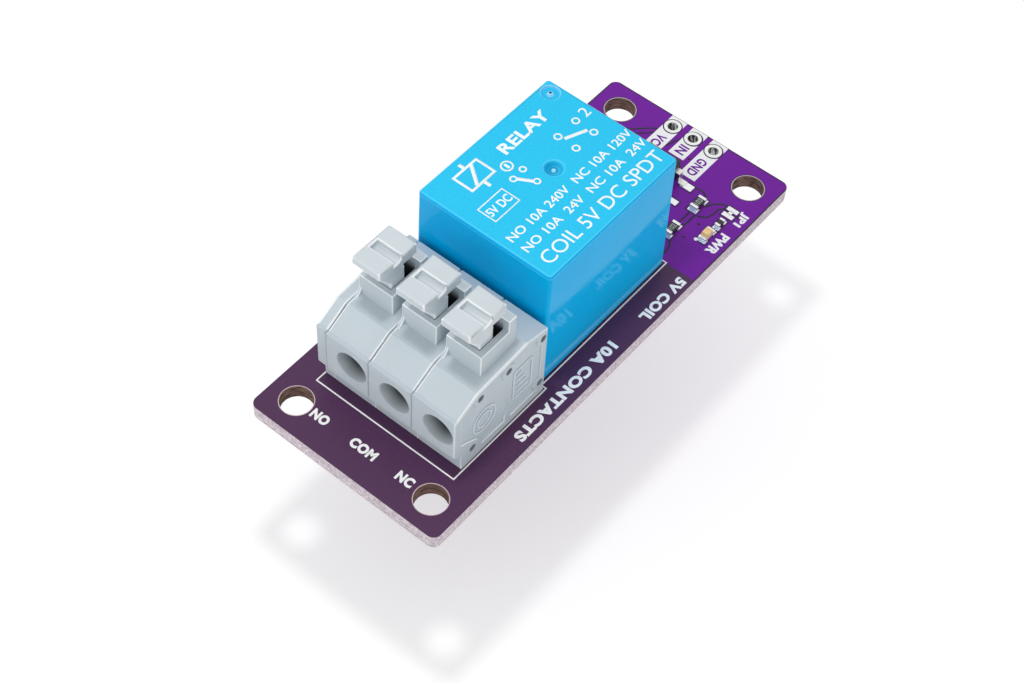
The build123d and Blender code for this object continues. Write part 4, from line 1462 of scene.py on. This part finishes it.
@dataclass
class CircuitBoard:
    """Board face: resist, copper tracks, gaps, vias and the rings of the header holes."""

    bench: Bench
    strips: StripTool
    spots: SpotTool
    gap_width: float = 0.2
    gap_rise: float = 0.008
    gap_corner: float = 0.2
    ring: float = 0.955
    ring_gap: float = 0.13
    ring_end: float = 345.0
    ring_steps: int = 36
    via_radii: Point = (0.16, 0.128)
    via_rise: float = 0.01
    via_drop: float = 0.05
    via_sides: int = 16
    track_rise: float = 0.04
    wide_track: float = 2.6
    wide_corner: float = 1.0
    fine_track: float = 0.45
    fine_corner: float = 0.6
    vias: tuple[Point, ...] = ((1.32, 23.21), (5.51, 17.22), (7.07, 16.97), (6.93, 14.69), (9.52, 20.13))
    gaps: tuple[tuple[Point, ...], ...] = (
        ((-7.2, 21.9), (-5.6, 22.5), (-4.4, 23.75), (-3.7, 24.37), (-2.9, 24.5)),
        ((-7.0, 21.4), (-5.2, 22.1), (-4.04, 23.2), (-3.3, 24.05)),
        ((-1.7, 22.9), (-1.35, 23.7), (-1.2, 24.35), (-0.8, 24.85)),
        ((3.95, 20.6), (4.95, 20.66), (5.45, 20.35), (5.8, 19.98)),
        ((6.13, 17.6), (6.13, 16.6), (6.07, 15.95), (5.85, 15.85)),
        ((5.5, 17.65), (5.5, 16.7), (5.45, 15.95)),
        ((6.3, 19.25), (6.7, 20.05), (7.4, 20.6), (7.9, 20.7)),
        ((6.3, 17.65), (7.15, 18.1), (7.4, 18.9), (7.45, 19.8), (7.9, 20.35)),
        ((6.2, 13.5), (6.55, 12.9), (6.7, 12.4), (6.7, 11.0)),
        ((1.8, 20.9), (1.8, 22.0), (2.6, 23.0), (2.6, 24.4)),
    )
    wide_below: tuple[tuple[Point, ...], ...] = (
        ((5.775, -4.45), (5.775, -8.0), (6.05, -9.6), (6.05, -16.5)),
        ((-6.225, -4.45), (-6.225, -7.0), (-3.95, -9.6), (-3.95, -16.5)),
        ((-0.225, 9.75), (-0.225, -7.8), (1.05, -9.6), (1.05, -16.5)),
    )
    fine_below: tuple[tuple[Point, ...], ...] = (
        ((5.775, 6.55), (5.775, 13.0), (2.54, 17.5), (2.54, 25.0)),
        ((-6.225, 6.55), (-6.225, 16.0), (-2.54, 20.5), (-2.54, 25.0)),
        ((0.0, 24.8), (0.0, 24.3), (1.32, 23.21)),
    )

    def build(self) -> None:
        """Dresses the board and lays what is on its faces."""
        self.bench.dress("purple_board", "circuit_board")
        self.bench.dress("plated_hole", "header_eyelets")
        self._gaps()
        self._vias()
        self._underside()

    def _gaps(self) -> None:
        """Lays the bare gaps beside the tracks and round the header's rings."""
        dark = self.bench.finishes["resist_gap"]
        level = BOARD_TOP + self.gap_rise / 2
        lines = self.strips.lay(self.gaps, level, self.gap_width, self.gap_rise, dark, corner=self.gap_corner)
        rings = [arc((step * HEADER_PITCH, HEADER_Y), self.ring, 0.0, self.ring_end, self.ring_steps)
                 for step in (-1, 0, 1)]
        loops = self.strips.lay(rings, level, self.ring_gap, self.gap_rise, dark, closed=True)
        self.bench.place("track_gaps", joined([lines, loops]), "resist_gap", "board_laminate")

    def _vias(self) -> None:
        """Sets small reddish vias in the pour, on both faces."""
        places = [(x, y, level) for x, y in self.vias for level in (BOARD_TOP, -self.via_drop)]
        material = self.bench.finishes["via_resist"]
        mesh = self.spots.set(places, self.via_radii, self.via_rise, material, self.via_sides)
        self.bench.place("vias", mesh, "via_resist", "board_laminate")

    def _underside(self) -> None:
        """Lays the wide contact tracks and the fine signal tracks under the board."""
        material = self.bench.finishes["resist_copper"]
        wide, fine = (
            self.strips.lay(lines, -self.track_rise / 2, width, self.track_rise, material, corner=corner)
            for lines, width, corner in ((self.wide_below, self.wide_track, self.wide_corner),
                                         (self.fine_below, self.fine_track, self.fine_corner)))
        tracks = joined([wide, fine])
        tracks.shade_flat()
        self.bench.place("tracks_below", tracks, "resist_copper", "board_laminate")


@dataclass(frozen=True)
class PinBox:
    """White box round a header hole: where its print starts, and where its label stands."""

    text: str
    x: float
    low: float
    middle: float
    length: float


@dataclass
class BoardPrint:
    """White print on the board's face."""

    bench: Bench
    strips: StripTool
    spots: SpotTool
    ink: float = 0.022
    line: float = 0.2
    block_frame: tuple[Point, Point] = ((-8.17, -21.15), (8.16, -8.15))
    relay_frame: tuple[Point, Point] = ((-8.06, -8.05), (7.6, 10.97))
    dot: Place = (7.99, 15.24, BOARD_TOP)
    dot_radius: float = 0.2
    box_width: float = 1.85
    box_end: float = 26.93
    hole_clear: float = 1.02
    label_height: float = 1.08
    label_weight: float = 0.03
    label_rise: float = 0.008
    boxes: tuple[PinBox, ...] = (
        PinBox("VCC", -2.54, 20.9, 22.85, 2.4),
        PinBox("IN", 0.05, 22.65, 23.72, 1.25),
        PinBox("GND", 2.56, 21.15, 22.83, 2.5),
    )
    words: tuple[Word, ...] = (
        Word("NO", (-5.15, -23.95), 1.9, 1.08, 0.055, Way.ACROSS),
        Word("COM", (0.05, -23.95), 2.9, 1.08, 0.055, Way.ACROSS),
        Word("NC", (4.95, -23.95), 1.8, 1.08, 0.055, Way.ACROSS),
        Word("PWR", (9.93, 16.1), 2.95, 1.03, 0.05, Way.DOWN_RIGHT_EDGE),
        Word("JP1", (9.85, 20.15), 1.9, 1.03, 0.05, Way.DOWN_RIGHT_EDGE),
        Word("5V COIL", (10.0, 7.2), 6.4, 1.1, 0.05, Way.DOWN_RIGHT_EDGE),
        Word("10A CONTACTS", (9.72, -7.1), 14.2, 1.15, 0.05, Way.DOWN_RIGHT_EDGE),
    )

    def build(self) -> None:
        """Lays the frames, words, dot and boxes."""
        white = self.bench.finishes["board_ink"]
        outlines = [box_outline(*self.block_frame), box_outline(*self.relay_frame)]
        frames = self.strips.lay(outlines, BOARD_TOP + self.ink / 2, self.line, self.ink, white, closed=True)
        self._place("print_frames", frames)
        self._place("print_words", joined([word.build(BOARD_TOP, self.ink) for word in self.words]))
        self._place("print_dot", self.spots.set([self.dot], (self.dot_radius,) * 2, self.ink, white))
        self._boxes()

    def _place(self, name: str, mesh: bpy.types.Mesh, finish: str = "board_ink") -> None:
        """Adds a piece of print to the board."""
        self.bench.place(name, mesh, finish, "board_laminate")

    def _boxes(self) -> None:
        """Lays the boxes round the header holes, with their labels in the colour of the resist."""
        half = self.box_width / 2
        turn = math.degrees(math.atan2(math.sqrt(self.hole_clear ** 2 - half ** 2), half))
        face = BOARD_TOP + self.ink
        plates, labels = [], []
        for box in self.boxes:
            left, right, center = box.x - half, box.x + half, (box.x, HEADER_Y)
            below = [(left, box.low), (right, box.low), *arc(center, self.hole_clear, -turn, turn - 180)]
            above = [(right, self.box_end), (left, self.box_end),
                     *arc(center, self.hole_clear, 180 - turn, turn)]
            plates += [slab(outline, BOARD_TOP, face) for outline in (below, above)]
            label = Word(box.text, (box.x, box.middle), box.length, self.label_height, self.label_weight,
                         Way.DOWN_RIGHT_EDGE)
            labels.append(label.build(face, self.label_rise))
        self._place("print_boxes", joined(plates))
        self._place("box_letters", joined(labels), "resist_copper")


@dataclass
class RelayCase:
    """Relay: cover, its white print, and the magnet and contacts inside."""

    bench: Bench
    strips: StripTool
    shell_edge: float = 0.12
    shell_steps: int = 3
    ink: float = 0.015
    second_coat: float = 0.004
    stroke: float = 0.36
    fine: float = 0.17
    words: tuple[Word, ...] = (
        Word("RELAY", (-5.2, 3.9), 6.4, 1.3, 0.03),
        Word("1", (-3.7, -0.3), 0.26, 0.62),
        Word("5V DC", (-1.3, -4.3), 2.9, 0.95, 0.02),
        Word("2", (-2.6, 9.5), 0.8, 1.15),
        Word("NO 10A 240V", (1.9, -2.75), 8.1, 0.9, 0.012),
        Word("NC 10A 120V", (1.9, 6.3), 8.1, 0.9, 0.012),
        Word("NO 10A  24V", (3.6, -2.75), 8.1, 0.9, 0.012),
        Word("NC 10A  24V", (3.6, 6.3), 8.1, 0.9, 0.012),
        Word("COIL 5V DC SPDT", (5.6, 1.7), 16.6, 1.45),
    )
    coil_frame: tuple[Point, Point] = ((-6.3, -4.6), (-4.1, -1.5))
    voltage_frame: tuple[Point, Point] = ((-2.35, -5.95), (-0.3, -2.65))
    strokes: tuple[tuple[Point, Point], ...] = (
        ((-6.2, -2.3), (-4.2, -3.8)),
        ((-4.0, -3.05), (-3.3, -3.05)),
        ((-6.4, -3.05), (-7.0, -3.05)),
        ((-2.1, -0.9), (-0.75, -0.1)),
        ((-1.9, 5.7), (-1.0, 7.9)),
    )
    circle_end: float = 340.0
    circles: tuple[tuple[Point, float, int], ...] = (
        ((-3.7, -0.3), 0.55, 28),
        ((-2.3, -1.1), 0.3, 18), ((-2.4, 0.35), 0.3, 18), ((-0.55, 0.1), 0.3, 18),
        ((-2.5, 5.5), 0.34, 18), ((-0.4, 5.5), 0.34, 18), ((-2.5, 8.1), 0.34, 18), ((-0.4, 8.1), 0.34, 18),
    )

    def build(self) -> None:
        """Dresses the case and what is in it."""
        shell = self.bench.softened("relay_cover", self.shell_edge, self.shell_steps)
        self.bench.place("relay_shell", shell, "relay_blue", "relay_shell", instead_of="relay_cover")
        self._print()
        self.bench.dress("relay_floor", "relay_base")
        self.bench.dress("magnet_steel", "relay_yoke", "coil_core", "armature")
        self.bench.dress("bobbin_cream", "coil_bobbin")
        self.bench.dress("coil_wire", "coil_winding")
        self.bench.dress("tin_plate", "coil_pins")
        self.bench.dress("spring_alloy", "contact_spring")
        self.bench.dress("contact_silver", "moving_contact", "fixed_contacts")
        self.bench.dress("terminal_metal", "normally_open_terminal", "normally_closed_terminal",
                         "common_terminal")

    def _print(self) -> None:
        """Lays the white lettering and the contact diagram on the top."""
        parts = [word.build(RELAY_TOP, self.ink) for word in self.words]
        parts.append(self._lines([box_outline(*self.coil_frame)], self.stroke, self.ink, True))
        parts.append(self._lines(self.strokes, self.stroke, self.ink + self.second_coat, False))
        circles = [arc(center, radius, 0.0, self.circle_end, steps) for center, radius, steps in self.circles]
        parts.append(self._lines([box_outline(*self.voltage_frame), *circles], self.fine, self.ink, True))
        self.bench.place("relay_print", joined(parts), "relay_ink", "relay_shell")

    def _lines(self, lines: Sequence[Sequence[Point]], width: float, coat: float,
               closed: bool) -> bpy.types.Mesh:
        """Lays lines of ink on the top.

        Args:
            lines: each line's points.
            width: width of a line.
            coat: thickness of the ink.
            closed: whether each line returns to its start.

        Returns:
            One mesh.
        """
        white = self.bench.finishes["relay_ink"]
        return self.strips.lay(lines, RELAY_TOP + coat / 2, width, coat, white, closed)


@dataclass
class TerminalBlock:
    """Spring clamp block: pole housings, end plate, push buttons and the metal inside."""

    bench: Bench
    strips: StripTool
    poles: tuple[int, ...] = (1, 2, 3)
    edge: float = 0.09
    shortest: float = 0.32
    button_edge: float = 0.14
    button_steps: int = 3
    spring_edge: float = 0.03
    spring_foot: float = 2.8
    spring_keep: float = 0.62
    side_face: float = 7.8
    sunk: float = 0.02
    relief: float = 0.1
    stroke: float = 0.2
    corner: float = 0.3
    ring: tuple[Point, float] = ((-16.75, 5.84), 1.5)
    ring_shares: Point = (1.0, 0.6)
    ring_end: float = 345.0
    ring_steps: int = 36
    gauge: Area = (-11.5, 6.5, 2.5, 4.0)
    bar_shares: tuple[float, ...] = (0.2, 0.4, 0.6, 0.8)
    bar_inset: float = 0.4
    bar_step: float = 0.35

    def build(self) -> None:
        """Rounds and dresses each moulding."""
        for pole in self.poles:
            self._moulding(f"housing_{pole}", f"terminal_housing_{pole}")
            self._button(pole)
            self.bench.dress("terminal_metal", f"current_bar_{pole}")
            self._spring(pole)
        self._moulding("end_plate", "terminal_end_plate")
        self._side_marks()

    def _moulding(self, name: str, node: str) -> None:
        """Softens the edges of a pole's housing or of the end plate; the roundings take a painted highlight.

        Args:
            name: name of the piece.
            node: name of the solid.
        """
        mesh = self.bench.softened(node, self.edge, shortest=self.shortest, edged=True)
        self.bench.place(name, mesh, "block_grey", "block_plastic", instead_of=node, edge="edge_highlight")

    def _button(self, pole: int) -> None:
        """Softens the edges of one push button; the roundings take a painted highlight.

        Args:
            pole: number of the pole.
        """
        node = f"push_button_{pole}"
        mesh = self.bench.softened(node, self.button_edge, self.button_steps, edged=True)
        self.bench.place(f"button_cap_{pole}", mesh, "button_grey", "button_plastic", f"button_{pole}", node,
                         "edge_highlight")

    def _spring(self, pole: int) -> None:
        """Softens the edges of one clamp spring.

        Args:
            pole: number of the pole.
        """
        node = f"clamp_spring_{pole}"
        mesh = self.bench.softened(node, self.spring_edge, 1)
        piece = self.bench.place(f"clamp_leaf_{pole}", mesh, "spring_steel", "spring_steel", instead_of=node)
        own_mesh(piece)

    def _side_marks(self) -> None:
        """Lays a plain moulded ring and wire gauge in the side's shallow recess."""
        center, radius = self.ring
        loops = [arc(center, radius * share, 0.0, self.ring_end, self.ring_steps)
                 for share in self.ring_shares]
        y, z, width, height = self.gauge
        loops.append(rectangle(y, z, width, height))
        start, end = y - width / 2 + self.bar_inset, y + width / 2 - self.bar_inset
        bars = []
        for index, share in enumerate(self.bar_shares):
            level = z + (share - 0.5) * height
            bars.append([(start, level), (end - self.bar_step * index, level)])
        material = self.bench.finishes["edge_highlight"]
        flat = joined([
            self.strips.lay(loops, 0.0, self.stroke, self.relief, material, True, self.corner),
            self.strips.lay(bars, 0.0, self.stroke, self.relief, material),
        ])
        upright = Matrix(((0, 0, 1), (1, 0, 0), (0, 1, 0))).to_4x4()
        seat = Matrix.Translation(metres(self.side_face + self.relief / 2 - self.sunk, 0, 0))
        flat.transform(seat @ upright)
        self.bench.place("side_marks", flat, "block_grey", "block_plastic")


@dataclass
class ChipParts:
    """Chip parts on the board: pads, solder and the parts' finishes."""

    bench: Bench
    strips: StripTool
    pad_rise: float = 0.035
    pad_edge: float = 0.012
    pads: tuple[Area, ...] = (
        (5.57, 19.6, 1.05, 0.72), (5.57, 18.14, 1.05, 0.72),
        (5.55, 15.33, 1.02, 0.72), (5.55, 13.87, 1.02, 0.72),
        (8.66, 18.75, 0.72, 0.5), (8.66, 17.75, 0.72, 0.5),
        (8.52, 17.0, 0.98, 0.6), (8.52, 15.54, 0.98, 0.6),
        (8.6, 20.58, 1.25, 0.52), (8.6, 19.72, 1.25, 0.52),
        (3.32, 20.15, 1.35, 0.8), (-3.72, 20.15, 1.35, 0.8),
        (3.25, 17.65, 1.4, 0.66), (0.35, 16.7, 1.2, 0.66), (0.35, 18.6, 1.2, 0.66),
    )
    bridge: Area = (8.6, 20.15, 0.4, 0.5)
    gap_reach: float = 0.12
    gap_width: float = 0.14
    gap_rise: float = 0.01
    solder_film: float = 0.04
    end_wrap: float = 0.03
    resistor_height: float = 0.45
    mark_rise: float = 0.004
    marks: tuple[Word, ...] = (Word("103", (5.57, 18.87), 0.8, 0.547), Word("102", (5.55, 14.6), 0.8, 0.547))

    def build(self) -> None:
        """Dresses the parts and lays their pads and marks."""
        resistors = ("input_resistor", "pulldown_resistor", "lamp_resistor")
        self.bench.dress("chip_black", *[f"{part}_body" for part in resistors])
        self.bench.dress("bright_solder", *[f"{part}_caps" for part in resistors], "indicator_caps")
        self.bench.dress("lamp_carrier", "indicator_base")
        self.bench.dress("lamp_resin", "indicator_lens")
        self.bench.dress("package_black", "diode_body", "transistor_body")
        self.bench.dress("tin_plate", "diode_leads", "transistor_leads")
        self._pads()
        level = BOARD_TOP + self.solder_film + self.end_wrap + self.resistor_height
        marks = joined([mark.build(level, self.mark_rise) for mark in self.marks])
        self.bench.place("chip_marks", marks, "chip_ink", "chip_black")

    def _pads(self) -> None:
        """Lays tinned pads with rounded solder, and the bare gap round each."""
        plates = [slab(rectangle(*pad), BOARD_TOP, BOARD_TOP + self.pad_rise)
                  for pad in (*self.pads, self.bridge)]
        mesh = self.bench.bevelled(joined(plates), self.pad_edge, 2)
        self.bench.place("pads", mesh, "bright_solder", "solder")
        dark = self.bench.finishes["resist_gap"]
        rims = [rectangle(x, y, width + 2 * self.gap_reach, length + 2 * self.gap_reach)
                for x, y, width, length in self.pads]
        level = BOARD_TOP + self.gap_rise / 2
        gaps = self.strips.lay(rims, level, self.gap_width, self.gap_rise, dark, closed=True)
        self.bench.place("pad_gaps", gaps, "resist_gap", "board_laminate")


@dataclass
class SolderSide:
    """Solder joints under the board: a smooth cone round each pin."""

    bench: Bench
    relay_pins: tuple[Point, ...] = (
        (5.775, 6.55), (-6.225, 6.55), (5.775, -5.65), (-6.225, -5.65), (-0.225, 8.55))
    block_xs: tuple[float, ...] = (-3.95, 1.05, 6.05)
    block_ys: tuple[float, ...] = (-15.25, -11.25)
    sides: int = 32
    flank: tuple[Point, ...] = (
        (0.36, -0.9), (0.42, -0.8), (0.5, -0.55), (0.63, -0.3), (0.8, -0.12), (0.94, -0.04), (0.95, 0.0))

    def build(self) -> None:
        """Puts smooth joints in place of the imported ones."""
        block = [(x, y) for x in self.block_xs for y in self.block_ys]
        for name, pins, node in (("relay_joints", self.relay_pins, "relay_solder_joints"),
                                 ("block_joints", block, "terminal_solder_joints")):
            joints = joined([self._joint(x, y) for x, y in pins])
            self.bench.place(name, joints, "bright_solder", "solder", instead_of=node)

    def _joint(self, x: float, y: float) -> bpy.types.Mesh:
        """Turns one joint with a hollow flank.

        Args:
            x: X of its pin.
            y: Y of its pin.

        Returns:
            A closed mesh.
        """
        work = bmesh.new()
        turns = [math.tau * step / self.sides for step in range(self.sides)]
        rings = [[work.verts.new(metres(x + radius * math.cos(turn), y + radius * math.sin(turn), height))
                  for turn in turns] for radius, height in self.flank]
        for lower, upper in zip(rings, rings[1:]):
            band(work, lower, upper)
        work.faces.new(rings[0][::-1])
        work.faces.new(rings[-1])
        bmesh.ops.recalc_face_normals(work, faces=work.faces)
        mesh = mesh_of(work, "joint")
        mesh.shade_smooth()
        return mesh


# Studio


@dataclass(frozen=True)
class SoftBox:
    """Square soft box that faces the board: its place, its side and its power in watts."""

    name: str
    at: Place
    size: float
    power: float


@dataclass
class Studio:
    """Camera, paper floor and soft lights."""

    camera_at: Place = (67.633, -95.208, 149.127)
    forward: Place = (-0.35384, 0.48374, -0.8005)
    right: Place = (0.77219, 0.63401, 0.0418)
    lens: float = 69.92
    sensor: float = 36.0
    nearest: float = 1.0
    floor: float = -20.5
    floor_reach: float = 3000.0
    target: Place = (0.0, 0.0, 4.0)
    key_at: Place = (-7.0, -21.0, 129.0)
    key_size: float = 15.0
    key_level: float = 0.74
    sky_level: float = 0.68
    soft_boxes: tuple[SoftBox, ...] = (
        SoftBox("left_front", (-260.0, -220.0, 60.0), 260.0, 0.31),
        SoftBox("right_fill", (260.0, -150.0, 40.0), 200.0, 0.17),
    )

    def build(self) -> None:
        """Sets up the whole studio; the key light is near, so it spreads the shadow and softens it."""
        bpy.context.scene.view_settings.view_transform = "Standard"
        self._camera()
        self._floor()
        self._world()
        key_power = self.key_level * math.pi * (self.key_at[2] * MM) ** 2
        self._lamp("key", "DISK", self.key_at, self.key_size, key_power)
        for box in self.soft_boxes:
            lamp = self._lamp(box.name, "SQUARE", box.at, box.size, box.power)
            lamp.rotation_euler = (metres(*self.target) - lamp.location).to_track_quat("-Z", "Y").to_euler()

    def _camera(self) -> None:
        """Sets the camera at the photograph's angle."""
        data = bpy.data.cameras.new("camera")
        data.lens = self.lens
        data.sensor_width = self.sensor
        data.sensor_fit = "HORIZONTAL"
        data.clip_start = self.nearest * MM
        back = -Vector(self.forward).normalized()
        side = Vector(self.right).normalized()
        turn = Matrix((side, back.cross(side).normalized(), back)).transposed().to_4x4()
        camera = linked("camera", data)
        camera.matrix_world = Matrix.Translation(metres(*self.camera_at)) @ turn
        bpy.context.scene.camera = camera

    def _floor(self) -> None:
        """Lays a large sheet of paper below the board."""
        side = 2 * self.floor_reach
        sheet = [metres(x, y, self.floor) for x, y in rectangle(0.0, 0.0, side, side)]
        mesh = bpy.data.meshes.new("paper_floor")
        mesh.from_pydata(sheet, [], [(0, 1, 2, 3)])
        mesh.materials.append(Backdrop().build())
        linked("paper_floor", mesh)

    def _world(self) -> None:
        """Sets even pale light from all round, plain white where it is seen."""
        world = bpy.data.worlds.new("studio")
        world.use_nodes = True
        tree = world.node_tree
        background = tree.nodes["Background"]
        background.inputs["Color"].default_value = (1.0, 1.0, 1.0, 1.0)
        level = tree.nodes.new("ShaderNodeMapRange")
        level.inputs["To Min"].default_value = self.sky_level
        level.inputs["To Max"].default_value = 1.0
        tree.links.new(sight(tree), level.inputs["Value"])
        tree.links.new(level.outputs["Result"], background.inputs["Strength"])
        bpy.context.scene.world = world

    @staticmethod
    def _lamp(name: str, shape: str, at: Place, size: float, power: float) -> bpy.types.Object:
        """Hangs one lamp, which points straight down.

        Args:
            name: name of the lamp.
            shape: Blender's name of its shape.
            at: its place.
            size: its side or diameter.
            power: its power in watts.

        Returns:
            The lamp.
        """
        data = bpy.data.lights.new(name, "AREA")
        data.shape = shape
        data.size = size * MM
        data.energy = power
        lamp = linked(name, data)
        lamp.location = metres(*at)
        return lamp


def main() -> None:
    """Builds the sub-assemblies in order and reports each."""
    logging.basicConfig(level=logging.INFO, format="%(name)s: %(message)s")
    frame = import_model()
    bench = Bench(frame, Finishes())
    strips, spots = StripTool(), SpotTool()
    parts = (
        CircuitBoard(bench, strips, spots),
        BoardPrint(bench, strips, spots),
        RelayCase(bench, strips),
        TerminalBlock(bench, strips),
        ChipParts(bench, strips),
        SolderSide(bench),
        Studio(),
    )
    for part in parts:
        part.build()
        LOG.info("%s built", type(part).__name__)
    LOG.info("%d pieces placed", bench.count)


if __name__ == "__main__":
    main()
